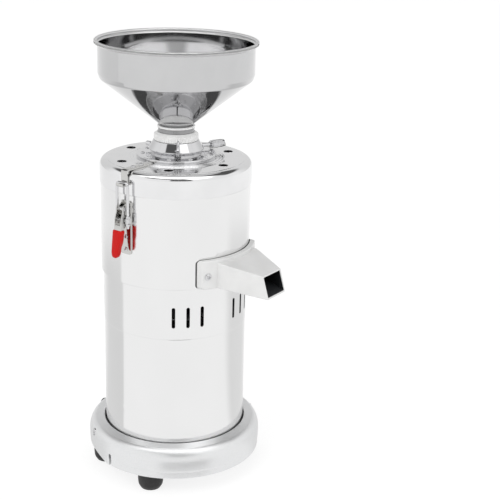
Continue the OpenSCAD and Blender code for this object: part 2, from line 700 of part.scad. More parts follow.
module chamber_bowl() color("lightgray") difference() {
    rotate_extrude() polygon([[20.05, casing_z - 3], [shroud_r - shell_t - 0.1, casing_z - 3],
        [shroud_r - shell_t - 0.1, casing_z], [casing_r - casing_t - 0.1, casing_z],
        [casing_r - casing_t - 0.1, chamber_top_z], [chamber_r, chamber_top_z],
        [chamber_r, floor_z + 4], [chamber_r - 4, floor_z], [26, floor_z], [26, floor_z + 6],
        [20.05, floor_z + 6]]);
    for (k = [0 : 3]) at(90 * k, tie_circle_r - 1, casing_z - 4) cylinder(h = 8, r = 2.6, $fn = 32);
    spout_window(chamber_r - 8);
    for (s = [-1, 1]) radial(s * flange_screw_az, chamber_r - 1, casing_r + 2, flange_mid_z - 2, 2.1);
    for (k = [0, 1], z = bracket_screw_z) radial(latch_az + 180 * k, chamber_r + 1, casing_r + 2, z, 1.85);
}

module shaft_seal() color("black") translate([0, 0, casing_z - 3]) difference() {
    cylinder(h = 10, r = 20);
    translate([0, 0, -1]) cylinder(h = 12, r = shaft_r + 0.1);
    translate([0, 0, -1]) cylinder(h = 7, r = 15);
}

module outer_casing() color("white") difference() {
    tube(casing_r, casing_r - casing_t, casing_z, casing_top_z);
    spout_window(chamber_r - 8);
    for (s = [-1, 1]) radial(s * flange_screw_az, casing_r - 3, casing_r + 2, flange_mid_z - 2, 2.1);
    for (k = [0, 1], z = bracket_screw_z) radial(latch_az + 180 * k, casing_r - 3, casing_r + 2, z, 1.85);
}

// ---- Spout ----

// A wedge-shaped duct that narrows towards the mouth, made larger by g on every side and longer by extra
module duct(g, y0, extra) {
    y_root = flange_out_r - 3;
    y_end = mouth_low_y + extra;
    past = extra / (mouth_low_y - y_root);
    half_end = mouth_half_w - (root_half_w - mouth_half_w) * past + g;
    low_end = mouth_low_z - (root_low_z - mouth_low_z) * past - g;
    top_end = mouth_top_z - (root_top_z - mouth_top_z) * past + g;
    intersection() {
        translate([0, 0, mouth_low_z - 30]) linear_extrude(120) polygon([[-root_half_w - g, -y0],
            [root_half_w + g, -y0], [root_half_w + g, -y_root], [half_end, -y_end], [-half_end, -y_end],
            [-root_half_w - g, -y_root]]);
        rotate([90, 0, -90]) translate([0, 0, -80]) linear_extrude(160) polygon([[y0, root_low_z - g],
            [y_root, root_low_z - g], [y_end, low_end], [y_end, top_end], [y_root, root_top_z + g],
            [y0, root_top_z + g]]);
    }
}

// A ring sector with round corners, that lies on the casing
module saddle(r_in, r_out, w, h) intersection() {
    tube(r_out, r_in, flange_mid_z - h / 2 - 1, flange_mid_z + h / 2 + 1);
    translate([0, 0, flange_mid_z]) rotate([90, 0, 0]) linear_extrude(200) round_rect(w, h, 5);
}

module spout() color("gainsboro") {
    difference() {
        union() {
            saddle(flange_in_r, flange_out_r, 2 * flange_half_w, flange_h);
            intersection() {
                duct(0, 104, 0);
                rotate([90, 0, -90]) translate([0, 0, -80])
                    linear_extrude(160) polygon([[flange_out_r - 5, 200], [mouth_low_y + 1, 200],
                    [mouth_low_y, mouth_low_z], [mouth_top_y, mouth_top_z], [mouth_top_y, 400],
                    [flange_out_r - 5, 400]]);
            }
            spout_neck();
        }
        duct(-spout_t, 90, 6);
        for (s = [-1, 1]) {
            radial(s * flange_screw_az, casing_r, flange_out_r + 2, flange_mid_z - 2, 2.1);
            radial(s * flange_screw_az, flange_out_r - 0.3, flange_out_r + 2, flange_mid_z - 2, 5.4 + seat);
        }
    }
}

// Short sleeve of the spout that lines the opening in the casing
module spout_neck() intersection() {
    translate([-37.5, -flange_out_r + 1, floor_z + 0.5]) cube([75, 14, root_top_z - floor_z - 3.9]);
    tube(flange_out_r - 1, chamber_r, floor_z - 20, root_top_z + 20);
}

module spout_gasket() color("dimgray") difference() {
    saddle(casing_r + 0.02, flange_in_r - 0.02, 2 * flange_half_w + 2 * gasket_edge,
        flange_h - gasket_edge);
    translate([-38, -casing_r - 5, floor_z]) cube([76, 20, root_top_z - spout_t - floor_z]);
    for (s = [-1, 1]) radial(s * flange_screw_az, casing_r - 1, flange_out_r, flange_mid_z - 2, 2.1);
}

module spout_screws() color("silver") for (s = [-1, 1])
    at(s * flange_screw_az, flange_out_r, flange_mid_z - 2) rotate([90, 0, 0]) {
        cross_screw(4.2, 2.6, 2, flange_out_r - chamber_r - 2);
        tube(5.4, 2, -0.3, 0.01);
    }

// ---- Cover ----

module cover_gasket() color("whitesmoke") tube(chamber_r + 4, chamber_r - 2, chamber_top_z, core_plate_z);

module cover_plate() color("lightgray") difference() {
    rotate_extrude() polygon([[44.05, core_plate_z], [casing_r - casing_t - 0.3, core_plate_z],
        [casing_r - casing_t - 0.3, core_plate_z + core_plate_t], [54, core_plate_z + core_plate_t],
        [54, cover_top_z - 1.5], [44.05, cover_top_z - 1.5]]);
    for (k = [0, 1]) at(90 + 180 * k, guide_circle_r, core_plate_z - 1)
        cylinder(h = core_plate_t + 2, r = guide_pin_r, $fn = 48);
    for (k = [0 : ring_screws_n - 1])
        at(ring_screw_az(k), 49, core_plate_z + 4) cylinder(h = 60, r = 1.7, $fn = 32);
}

function ring_screw_az(k) = -64.5 + 360 * k / ring_screws_n;

// Outline of the cover's outer skin, from its bottom edge up to the flat top
function shoulder(r, z, w, h) = [for (t = [0 : 9 : 90]) [r - w + w * cos(t), z - h + h * sin(t)]];

// A low ridge pressed into the cover's top, with its middle at radius r
function ridge(r) = [for (p = [[1.5, 0], [0.9, 0.8], [-0.9, 0.8], [-1.5, 0]]) [r + p[0], cover_top_z + p[1]]];

module cover() color("white") {
    skin = shoulder(cover_r, cover_top_z - 2, cover_r - cover_flat_r, 12);
    inner = shoulder(cover_r - cover_t, cover_top_z - 2 - 1.5, cover_r - cover_t - cover_flat_r, 10.5);
    difference() {
        rotate_extrude() polygon(concat([[cover_r, cover_z]], skin, [[cover_flat_r, cover_top_z]],
            ridge(ridge_r[1]), ridge(ridge_r[0]),
            [[50, cover_top_z], [50, cover_top_z - 1.5], [cover_flat_r - 1.5, cover_top_z - 1.5]],
            [for (k = [len(inner) - 1 : -1 : 0]) inner[k]], [[cover_r - cover_t, cover_z]]));
        for (k = [0 : 5])
            at(60 * k, cover_hole_circle_r, cover_top_z - 3) cylinder(h = 5, r = cover_hole_r);
        for (k = [0, 1], r = strap_screw_r)
            at(latch_az + 180 * k, r, cover_top_z - 3) cylinder(h = 5, r = 1.85, $fn = 32);
        for (k = [0, 1]) at(latch_az + 180 * k, 70, cover_top_z) translate([-strap_half_w - 0.3, 0, 0])
            cube([2 * strap_half_w + 0.6, 20, 2]);
    }
}

module stepped_ring() color("white") difference() {
    rotate_extrude() polygon([[ring_bore_r, core_plate_z + 16], [44, core_plate_z + 16],
        [44, cover_top_z - 1.5], [49.9, cover_top_z - 1.5], [49.9, cover_top_z], [ring_r, cover_top_z],
        [ring_r, ring_top_z - 0.6], [ring_r - 0.6, ring_top_z], [ring_bore_r, ring_top_z]]);
    for (k = [0 : ring_screws_n - 1])
        at(ring_screw_az(k), 47, cover_top_z - 10) cylinder(h = 60, r = 1.7, $fn = 32);
}

module ring_screws() color("silver") for (k = [0 : ring_screws_n - 1]) at(ring_screw_az(k), 47, ring_top_z)
    cross_screw(3, 2.2, 1.65, 6);

// Pins that let the upper stone rise and sink but not turn
module guide_pins() color("gray") for (k = [0, 1]) at(90 + 180 * k, guide_circle_r, stone_top_z - 4)
    cylinder(h = core_plate_z + core_plate_t - stone_top_z + 4, r = guide_pin_r, $fn = 48);

// ---- Fineness adjustment ----

module adjusting_collar() color("white") difference() {
    rotate_extrude() polygon([[thread_r, core_plate_z + 10], [ring_bore_r - running_gap, core_plate_z + 10],
        [ring_bore_r - running_gap, ring_top_z], [34, ring_top_z], [34, ring_top_z + 1.6],
        [collar_r - 1.4, collar_wide_z - 1.8], [collar_r, collar_wide_z - 0.6], [collar_r, collar_wide_z],
        [collar_top_r, collar_top_z], [collar_bore_r, collar_top_z], [collar_bore_r, collar_top_z - 10],
        [thread_r, collar_top_z - 13.5]]);
    radial(handle_az, ring_bore_r - 5, collar_r + 2, handle_z, 2.7);
    radial(lock_screw_az, ring_bore_r - 5, collar_r + 2, handle_z + 2.5, 2.2);
    lock_lever_place() cube([4.4, 9.4, 9.4], center = true);
}

// Puts its children at the lock lever's pivot
module lock_lever_place() at(lock_az, lock_pivot_y, lock_pivot_z) children();

// Ring screwed on the collar's lower end, which keeps the collar in the stepped ring
module collar_retainer() color("gray")
    tube(ring_bore_r + 5.5, ring_bore_r - running_gap, core_plate_z + 10, core_plate_z + 15.9);

// Rod screwed into the collar, with a knurled knob at its end
module adjusting_handle() color("silver") {
    radial(handle_az, ring_bore_r - 4, handle_reach - 22, handle_z, 2.65);
    at(handle_az, handle_reach - 23, handle_z) rotate([90, 0, 0]) difference() {
        rotate_extrude($fn = 48) polygon([[0, 0], [4.4, 0], [5.4, 1], [5.4, 22], [4.4, 23], [0, 23]]);
        for (k = [0 : 15]) rotate([0, 0, 22.5 * k]) translate([5.6, 0, 3])
            cylinder(h = 17, r = 0.6, $fn = 12);
    }
}

module lock_screw() color("silver") at(lock_screw_az, collar_r, handle_z + 2.5) rotate([90, 0, 0]) {
    cylinder(h = 8, r = 3.2);
    translate([0, 0, -6.5]) cylinder(h = 6.5 + tiny, r = 2.15);
}

// Lever that pinches the collar when it is swung down, with a crosswise bar at its tip
module lock_lever() color("silver") lock_lever_place() rotate([-lock_lever_tilt, 0, 0]) {
    rotate([0, 90, 0]) translate([0, 0, -2]) cylinder(h = 4, r = 3.4);
    rotate([90, 0, 0]) {
        translate([-2, -2.6, 0]) cube([4, 5.2, lock_lever_len - 9]);
        translate([0, 0, lock_lever_len - 9.1]) cylinder(h = 9.1, r = 1.5, $fn = 32);
    }
    translate([-6, -lock_lever_len + 4.5, 0]) rotate([0, 90, 0]) cylinder(h = 12, r = 1.3, $fn = 32);
}

// Threaded sleeve that the collar raises and lowers, with the holder of the upper stone at its foot
module stone_sleeve() color("lightgray") difference() {
    union() {
        tube(sleeve_r, throat_r, stone_top_z, collar_top_z - 16.5);
        tube(stone_r + 2, throat_r, stone_top_z, stone_top_z + carrier_t);
    }
    for (k = [0, 1])
        at(90 + 180 * k, guide_circle_r, stone_top_z - 1)
            cylinder(h = carrier_t + 2, r = guide_pin_r + running_gap, $fn = 48);
}

module stator_stone() color("dimgray") difference() {
    tube(stone_r, 24, gap_z, stone_top_z);
    stone_grooves(gap_z, -8);
    for (k = [0, 1]) at(90 + 180 * k, guide_circle_r, stone_top_z - 6) cylinder(h = 8, r = guide_pin_r + 1);
}

// ---- Latches ----

// Side view of the strap: flat on the cover, down over its edge, and turned up into a hook
module strap_outline() {
    leg_r = cover_r + 0.5;
    hook_r = bolt_y + wire_r + 2;
    low_z = hook_floor_z - strap_t;
    bend = 3;
    start_r = ring_r + 1.3;
    difference() {
        union() {
            translate([start_r, low_z])
                square([leg_r + strap_t - bend - start_r, cover_top_z + strap_t - low_z]);
            translate([start_r, low_z])
                square([leg_r + strap_t - start_r, cover_top_z + strap_t - bend - low_z]);
            translate([leg_r + strap_t - bend, cover_top_z + strap_t - bend]) circle(r = bend, $fn = 48);
        }
        translate([start_r - 1, low_z - 1]) square([leg_r - start_r + 1, cover_top_z - low_z + 1]);
    }
    difference() {
        translate([leg_r, low_z]) square([hook_r + strap_t - leg_r, hook_floor_z + 2.5 - low_z]);
        translate([leg_r + strap_t, hook_floor_z]) square([hook_r - leg_r - strap_t, 10]);
        translate([hook_r + strap_t - 1.5, low_z]) difference() {
            square([2, 1.5]);
            translate([0, 1.5]) circle(r = 1.5, $fn = 48);
        }
    }
}

// Turns a side view, drawn as distance and height, into a plate from x0 to x1
module side_plate(x0, x1) translate([x0, 0, 0]) rotate([90, 0, -90]) translate([0, 0, x0 - x1])
    linear_extrude(x1 - x0) children();

// Two such plates, one on each side, whose inner faces stand x from the middle
module side_pair(x, t) for (s = [-1, 1])
    side_plate(s * (x + t / 2) - t / 2, s * (x + t / 2) + t / 2) children();

module latch_straps() color("silver") for (k = [0, 1]) at(latch_az + 180 * k) difference() {
    side_plate(-strap_half_w, strap_half_w) strap_outline();
    for (r = strap_screw_r) translate([0, -r, cover_top_z - 1]) cylinder(h = 5, r = 1.85, $fn = 32);
}

// Screws through the straps, with their nuts under the cover's skin
module strap_screws() color("silver") for (k = [0, 1], r = strap_screw_r)
    at(latch_az + 180 * k, r, cover_top_z + strap_t) {
    cross_screw(3.6, 2, 1.8, 8);
    translate([0, 0, -strap_t - 1.5 - 3]) difference() {
        cylinder(h = 3, r = 3.5, $fn = 6);
        translate([0, 0, -1]) cylinder(h = 5, r = 1.82, $fn = 32);
    }
}

// Back plate on the casing and two ears that carry the handle's pin
module latch_brackets() color("silver") for (k = [0, 1]) at(latch_az + 180 * k) difference() {
    union() {
        intersection() {
            tube(casing_r + 2, casing_r + 0.02, 320, 410);
            translate([0, 0, 362]) rotate([90, 0, 0]) linear_extrude(150) round_rect(18, 76, 3);
        }
        side_pair(ear_x, ear_t) {
            polygon([[casing_r + 0.6, pivot_z - 10], [casing_r + 0.6, pivot_z + 10],
                [pivot_y, pivot_z + 5], [pivot_y, pivot_z - 5]]);
            translate([pivot_y, pivot_z]) circle(r = 5, $fn = 48);
        }
    }
    translate([-20, -pivot_y, pivot_z]) rotate([0, 90, 0]) cylinder(h = 40, r = pivot_r, $fn = 48);
    for (z = bracket_screw_z) radial(0, casing_r - 1, casing_r + 4, z, 1.85);
}

module bracket_screws() color("silver") for (k = [0, 1], z = bracket_screw_z)
    at(latch_az + 180 * k, casing_r + 2, z) rotate([90, 0, 0]) cross_screw(3.2, 1.8, 1.8, 5);

module pivot_pins() color("silver") for (k = [0, 1]) at(latch_az + 180 * k, pivot_y, pivot_z)
    rotate([0, 90, 0]) translate([0, 0, -side_x - side_t - 0.1])
        cylinder(h = 2 * (side_x + side_t) + 0.2, r = pivot_r, $fn = 48);

// Side view of a handle plate: a head round both pins, then an arm down into the grip
module handle_outline() {
    polygon([[pivot_y - 4.6, pivot_z + 1], [pivot_y + 4.8, pivot_z], [pivot_y + 8.5, pivot_z - 14],
        [arm_out_y, grip_top_z], arm_end, arm_end - [5, 0], [arm_in_y, grip_top_z],
        [bolt_y - 4, trunnion_z - 5], [bolt_y - 5, trunnion_z]]);
    translate([pivot_y, pivot_z]) circle(r = 4.8, $fn = 48);
    translate([bolt_y, trunnion_z]) circle(r = 5, $fn = 48);
}

module latch_handle(a) at(a) difference() {
    union() {
        side_pair(side_x, side_t) handle_outline();
        side_plate(-side_x - tiny, side_x + tiny) polygon([[arm_out_y - 2.3, grip_top_z + 7],
            [arm_out_y - 0.8, grip_top_z + 7], [arm_out_y, grip_top_z], arm_end, arm_end - [1.5, 0],
            [arm_out_y - 1.5, grip_top_z]]);
    }
    translate([-20, -pivot_y, pivot_z]) rotate([0, 90, 0])
        cylinder(h = 40, r = pivot_r + running_gap, $fn = 48);
    translate([-20, -bolt_y, trunnion_z]) rotate([0, 90, 0])
        cylinder(h = 40, r = trunnion_r + running_gap, $fn = 48);
}

// Front view of the red grip: wide at the top, with a thumb notch on one side and a round end
module grip_front() {
    h = grip_top_z - grip_low_z;
    end_r = 6.2;
    polygon(concat([[-grip_half_w, 0], [grip_half_w, 0], [grip_half_w - 0.6, -h * 0.3],
        [grip_half_w - 1.6, -h * 0.48], [grip_half_w - 3.2, -h * 0.58], [grip_half_w - 3.4, -h * 0.68]],
        [for (t = [0 : 15 : 180]) [end_r * cos(t) - 1.4, end_r - h - end_r * sin(t)]],
        [[-grip_half_w + 0.2, -h * 0.5]]));
}

module latch_grip(a) color("crimson") at(a) difference() {
    intersection() {
        translate([0, -100, grip_top_z]) rotate([90, 0, 0]) linear_extrude(60) grip_front();
        side_plate(-20, 20) polygon([for (p = [[2.8, grip_top_z], [12.2, grip_top_z],
            [19, grip_low_z + 5], [18, grip_low_z + 1], [15.5, grip_low_z], [12, grip_low_z],
            [9.4, grip_low_z + 1.6], [8.8, grip_low_z + 5]]) p + [bolt_y, 0]]);
    }
    side_plate(-side_x - side_t, side_x + side_t) polygon([[arm_in_y, grip_top_z + 0.1],
        [arm_out_y, grip_top_z + 0.1], arm_end - [0, 0.02], arm_end - [5, 0.02]]);
}

// U-shaped wire with threaded legs, the trunnion they pass through, and their nuts
module u_bolt(a) color("silver") at(a, bolt_y) {
    bend = 4;
    foot_z = trunnion_z - 11;
    for (s = [-1, 1]) {
        translate([s * leg_x, 0, foot_z]) cylinder(h = bar_z - bend - foot_z, r = wire_r, $fn = 32);
        translate([s * (leg_x - bend), 0, bar_z - bend]) rotate([90, 0, 0]) rotate([0, 0, s > 0 ? 0 : 90])
            rotate_extrude(angle = 90, $fn = 64) translate([bend, 0]) circle(r = wire_r, $fn = 32);
        for (z = [-7, 4]) translate([s * leg_x, 0, trunnion_z + z]) rotate([0, 0, 30])
            cylinder(h = 3, r = 3.4, $fn = 6);
        translate([s * leg_x, 0, trunnion_z - 4]) cylinder(h = 8, r = wire_r, $fn = 32);
    }
    translate([-leg_x + bend, 0, bar_z]) rotate([0, 90, 0])
        cylinder(h = 2 * (leg_x - bend), r = wire_r, $fn = 32);
    translate([-12, 0, trunnion_z]) rotate([0, 90, 0]) cylinder(h = 24, r = trunnion_r, $fn = 48);
    for (s = [-1, 1]) translate([s * (leg_x + 0.1) - 2.2, -4, trunnion_z - 4]) cube([4.4, 8, 8]);
}

module left_latch_handle() color("silver") latch_handle(latch_az);
module left_latch_grip() latch_grip(latch_az);
module left_u_bolt() u_bolt(latch_az);
module right_latch_handle() color("silver") latch_handle(latch_az + 180);
module right_latch_grip() latch_grip(latch_az + 180);
module right_u_bolt() u_bolt(latch_az + 180);

// ---- Hopper ----

// Ribbed plastic ring with a spigot that plugs into the collar
module hopper_coupling() color("white") difference() {
    rotate_extrude() polygon([[throat_r, collar_top_z - 9.5], [collar_bore_r - 0.35, collar_top_z - 9.5],
        [collar_bore_r - 0.35, coupling_z], [coupling_r, coupling_z], [coupling_r, coupling_top_z - 3],
        [coupling_r - 1.6, coupling_top_z - 1.2], [26.8, coupling_top_z], [neck_r + 0.1, coupling_top_z],
        [neck_r + 0.1, coupling_z + 3], [throat_r, coupling_z + 3]]);
    for (k = [0 : coupling_ribs - 1]) at(360 * k / coupling_ribs, coupling_r + 0.35, coupling_z - 1)
        cylinder(h = coupling_h, r = 0.9, $fn = 12);
}

module hopper() color("silver") {
    cone_slope = (knuckle_z - neck_flange_z - 4) / (hopper_r - neck_r);
    inner_r = neck_r - hopper_t;
    top = hopper_top_z - 2.5;
    rotate_extrude() {
        polygon([[inner_r, coupling_z + 3], [neck_r, coupling_z + 3], [neck_r, neck_flange_z + 4],
            [hopper_r - 3, knuckle_z - 1.5], [hopper_r - 0.8, knuckle_z + 1], [hopper_r, knuckle_z + 4],
            [hopper_r, top - 3], [rim_r - 4.5, top], [rim_r - 5.6, top], [hopper_r - hopper_t, top - 3],
            [hopper_r - hopper_t, knuckle_z + 4.2], [hopper_r - hopper_t - 0.7, knuckle_z + 1.6],
            [hopper_r - hopper_t - 2.6, knuckle_z - 0.6], [inner_r, neck_flange_z + 4.6]]);
        translate([rim_r - 2.5, hopper_top_z - 2.5]) circle(r = 2.5, $fn = 32);
        translate([neck_r - 0.5, neck_flange_z - 1.2]) square([2.3, 2.4]);
        translate([neck_r - 0.5, coupling_top_z]) square([1.4, 4.2]);
    }
}

base_casting();
bottom_plate();
base_side_screws();
rubber_feet();
foot_screws();
foot_nuts();
cord_gland();
run_capacitor();
capacitor_clip();
motor_shell();
vent_shroud();
switch_frame();
switch_rocker();
lower_end_bell();
upper_end_bell();
tie_bolts();
stator_core();
stator_windings();
lower_bearing();
upper_bearing();
bowl_posts();
chamber_bowl();
shaft_seal();
outer_casing();
spout();
spout_gasket();
spout_screws();
cover_gasket();
cover_plate();
cover();
stepped_ring();
ring_screws();
guide_pins();
latch_straps();
strap_screws();
latch_brackets();
bracket_screws();
pivot_pins();
spindle();
rotor_core();
cooling_fan();
discharge_scraper();
rotor_plate();
rotor_stone();
feed_nut();
adjusting_collar();
collar_retainer();
adjusting_handle();
lock_screw();
lock_lever();
stone_sleeve();
stator_stone();
left_latch_handle();
left_latch_grip();
left_u_bolt();
right_latch_handle();
right_latch_grip();
right_u_bolt();
hopper_coupling();
hopper();
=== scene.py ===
"""Looks of the nut butter grinder: polished steel mill on a hammered cast base.

Shapes are worked out in millimetres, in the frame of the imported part, and turned into metres where a
mesh is made.
A shape at azimuth a is drawn at -Y, with x to the right and -y outwards, and then turned by a about Z.
"""
import math

import bmesh
import bpy
import numpy as np
from mathutils import Matrix, Vector


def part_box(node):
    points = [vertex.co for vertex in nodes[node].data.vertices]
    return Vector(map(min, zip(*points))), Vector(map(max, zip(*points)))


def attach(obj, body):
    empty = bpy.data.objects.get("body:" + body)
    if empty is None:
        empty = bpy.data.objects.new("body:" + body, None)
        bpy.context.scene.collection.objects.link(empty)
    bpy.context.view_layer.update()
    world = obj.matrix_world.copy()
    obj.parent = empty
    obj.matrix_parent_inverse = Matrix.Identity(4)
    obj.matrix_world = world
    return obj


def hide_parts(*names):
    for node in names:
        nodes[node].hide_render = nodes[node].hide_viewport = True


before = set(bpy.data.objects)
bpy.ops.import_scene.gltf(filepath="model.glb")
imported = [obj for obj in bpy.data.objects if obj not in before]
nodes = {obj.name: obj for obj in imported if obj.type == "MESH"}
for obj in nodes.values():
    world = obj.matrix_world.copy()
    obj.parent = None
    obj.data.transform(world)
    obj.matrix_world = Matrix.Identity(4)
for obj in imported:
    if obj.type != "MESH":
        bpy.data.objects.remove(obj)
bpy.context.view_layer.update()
MM = 0.001
FULL_TURN = 2.0 * math.pi
DEGREES = 180.0 / math.pi
CAMERA_AZIMUTH = -53.0
hopper_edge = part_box("hopper")[1][2]


def added(name, data):
    """A new object in the scene for a mesh, lamp or camera."""
    made = bpy.data.objects.new(name, data)
    bpy.context.scene.collection.objects.link(made)
    return made


def span(node):
    """Lowest and highest corner of a CAD node, in millimetres."""
    low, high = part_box(node)
    return np.array(low) / MM, np.array(high) / MM


# ---------------------------------------------------------------- camera

camera_data = bpy.data.cameras.new("camera")
camera = added("camera", camera_data)
bpy.context.scene.camera = camera
camera_data.sensor_width = 36.0
camera_data.lens = 87.06
camera_data.clip_start = 0.05
camera_data.clip_end = 60.0
CAMERA_DISTANCE = 1.65834
CAMERA_HEIGHT = 0.85608
PITCH, YAW, ROLL = (math.radians(v) for v in (18.4186, 3.7143, 1.5132))
ahead = np.array([math.sin(YAW) * math.cos(PITCH), math.cos(YAW) * math.cos(PITCH), -math.sin(PITCH)])
level = np.array([math.cos(YAW), -math.sin(YAW), 0.0])
above = np.cross(level, ahead)
right = math.cos(ROLL) * level + math.sin(ROLL) * above
up = -math.sin(ROLL) * level + math.cos(ROLL) * above
aim = Matrix([[*row, 0.0] for row in np.stack([right, up, -ahead], axis=1)] + [[0.0, 0.0, 0.0, 1.0]])
aim.translation = (0.0, -CAMERA_DISTANCE, CAMERA_HEIGHT)
camera.matrix_world = Matrix.Rotation(math.radians(CAMERA_AZIMUTH), 4, "Z") @ aim


# ---------------------------------------------------------------- shader maths

class Value:
    """A shader number. Python's operators on it add Math nodes."""

    def __init__(self, finish, socket):
        self.finish = finish
        self.socket = socket

    def math(self, operation, *others):
        return self.finish.node("ShaderNodeMath", {"operation": operation}, self, *others)

    def __add__(self, other):
        return self.math("ADD", other)

    def __sub__(self, other):
        return self.math("SUBTRACT", other)

    def __rsub__(self, other):
        return self.finish.node("ShaderNodeMath", {"operation": "SUBTRACT"}, other, self)

    def __mul__(self, other):
        return self.math("MULTIPLY", other)

    def __pow__(self, other):
        return self.math("POWER", other)

    __radd__ = __add__
    __rmul__ = __mul__

    def sine(self):
        return self.math("SINE")

    def absolute(self):
        return self.math("ABSOLUTE")

    def band(self, low, low_end, high, high_end):
        """Rises to 1 between the first two numbers and falls to 0 between the last two."""
        return self.ramp(low, low_end) * (1.0 - self.ramp(high, high_end))

    def ramp(self, low, high, start=0.0, end=1.0):
        """Rises smoothly from start at low to end at high."""
        settings = {"interpolation_type": "SMOOTHSTEP"}
        return self.finish.node("ShaderNodeMapRange", settings, self, low, high, start, end)


class Finish:
    """One material under construction."""

    def __init__(self, name):
        self.material = bpy.data.materials.new(name)
        self.material.use_nodes = True
        self.tree = self.material.node_tree
        self.tree.nodes.clear()
        self.output = self.tree.nodes.new("ShaderNodeOutputMaterial")

    def node(self, kind, settings=None, *inputs, output=0, **named):
        """Adds a node. Its settings come first, then values or links for its sockets,
        by place or by name."""
        made = self.tree.nodes.new(kind)
        for key, value in (settings or {}).items():
            setattr(made, key, value)
        sockets = list(zip(made.inputs, inputs)) + [(made.inputs[key.replace("_", " ")], v) for key,
                                                    v in named.items()]
        for socket, value in sockets:
            if isinstance(value, Value):
                self.tree.links.new(value.socket, socket)
            elif value is not None:
                socket.default_value = value
        return Value(self, made.outputs[output])

    def place(self, scale=(1.0, 1.0, 1.0)):
        """Object coordinates, stretched by scale."""
        where = self.node("ShaderNodeTexCoord", output=3)
        return self.node("ShaderNodeMapping", None, Vector=where, Scale=scale)

    def axes(self):
        """The x, y and z of Object coordinates as numbers."""
        apart = self.tree.nodes.new("ShaderNodeSeparateXYZ")
        self.tree.links.new(self.place().socket, apart.inputs[0])
        return [Value(self, s) for s in apart.outputs]

    def noise(self, size, detail=2.0, stretch=(1.0, 1.0, 1.0), rough=0.5):
        """Noise whose features are about size metres across."""
        return self.node("ShaderNodeTexNoise", None, Vector=self.place(stretch), Scale=1.0 / size,
                         Detail=detail, Roughness=rough)

    def colour(self, factor, low, high):
        """A mix of two colours."""
        made = self.tree.nodes.new("ShaderNodeMix")
        made.data_type = "RGBA"
        self.tree.links.new(factor.socket, made.inputs["Factor"])
        made.inputs[6].default_value = (*low, 1.0)
        made.inputs[7].default_value = (*high, 1.0)
        return Value(self, made.outputs[2])

    def bump(self, height, depth, strength=1.0, after=None):
        """A Normal from a height of 0 to 1 that stands for depth metres."""
        return self.node("ShaderNodeBump", None, Height=height, Distance=depth, Strength=strength,
                         Normal=after)

    def surface(self, **inputs):
        """The Principled shader, set by socket name."""
        made = self.tree.nodes.new("ShaderNodeBsdfPrincipled")
        for key, value in inputs.items():
            socket = made.inputs[key.replace("_", " ")]
            if isinstance(value, Value):
                self.tree.links.new(value.socket, socket)
            elif isinstance(value, tuple) and len(value) == 3 and socket.type == "RGBA":
                socket.default_value = (*value, 1.0)
            else:
                socket.default_value = value
        self.tree.links.new(made.outputs[0], self.output.inputs[0])
        return self.material


# ---------------------------------------------------------------- finishes

def polished_steel(name, shade, rough, wave=0.00006, scratch=0.000002):
    """Mirror-polished sheet: faint scratches in every direction, slow waves from rolling,
    cloudy wiped patches."""
    f = Finish(name)
    cloud = f.noise(0.05, 3.0)
    hair = f.noise(0.0012, 2.0, (1.0, 1.0, 0.12))
    tone = f.colour(cloud.ramp(0.3, 0.75), tuple(v * 0.96 for v in shade), shade)
    waves = f.bump(f.noise(0.06, 1.0), wave)
    return f.surface(Base_Color=tone, Metallic=1.0, Roughness=cloud.ramp(0.35, 0.7, rough, rough * 1.6),
                     Normal=f.bump(hair, scratch, 1.0, waves))


def hopper_steel(name):
    """Brushed-over mirror sheet; a rolled rim rubbed dull by hands and scoops and painted paler as a painted
    highlight.
    """
    f = Finish(name)
    cloud = f.noise(0.05, 3.0)
    # The sheet below the rim is painted darker than the rim: painted shade on the body, a painted highlight
    # on the rim. The rim's extra roughness is its rubbing.
    rim_highlight_and_rub = f.axes()[2].ramp(hopper_edge - 0.007, hopper_edge - 0.005)
    tone = f.colour(cloud.ramp(0.3, 0.75) * 0.1 + rim_highlight_and_rub * 0.9, (0.58, 0.58, 0.585), (0.90, 0.90, 0.90))
    rough = cloud.ramp(0.35, 0.7, 0.05, 0.08) + rim_highlight_and_rub * 0.45
    waves = f.bump(f.noise(0.06, 1.0), 0.0001)
    return f.surface(Base_Color=tone, Metallic=1.0, Roughness=rough,
                     Normal=f.bump(f.noise(0.0012, 2.0, (1.0, 1.0, 0.12)), 0.000003, 1.0, waves))


def spun_steel(name, shade, rough, pitch=0.0009, depth=0.000001):
    """Sheet finished on a lathe: fine rings about the axis, of uneven depth,
    that smear reflections along the radius."""
    f = Finish(name)
    x, y, z = f.axes()
    radius = (x * x + y * y) ** 0.5
    rings = ((radius + z * 0.35) * (FULL_TURN / pitch)).sine() * 0.5 + 0.5
    uneven = f.noise(0.004, 3.0, (1.0, 1.0, 6.0))
    cloud = f.noise(0.045, 2.0)
    tone = f.colour(cloud.ramp(0.3, 0.7), tuple(v * 0.95 for v in shade), shade)
    return f.surface(Base_Color=tone, Metallic=1.0, Roughness=cloud.ramp(0.3, 0.8, rough, rough * 1.2),
                     Anisotropic=0.9, Anisotropic_Rotation=0.25, Normal=f.bump(rings * uneven, depth))


def shell_steel(name, shade, rough):
    """Satin-bright housing sheet: upright polishing lines, a slow ripple round the shell, wiped patches."""
    f = Finish(name)
    lines = f.noise(0.0016, 3.0, (1.0, 1.0, 0.03))
    cloud = f.noise(0.07, 3.0, (1.0, 1.0, 0.6))
    ripple = f.bump(f.noise(0.09, 1.0, (1.0, 1.0, 0.25)), 0.00022)
    tone = f.colour(cloud.ramp(0.3, 0.72), tuple(v * 0.97 for v in shade), shade)
    return f.surface(Base_Color=tone, Metallic=1.0, Roughness=cloud.ramp(0.3, 0.7, rough, rough * 1.45),
                     Normal=f.bump(lines, 0.000004, 1.0, ripple))


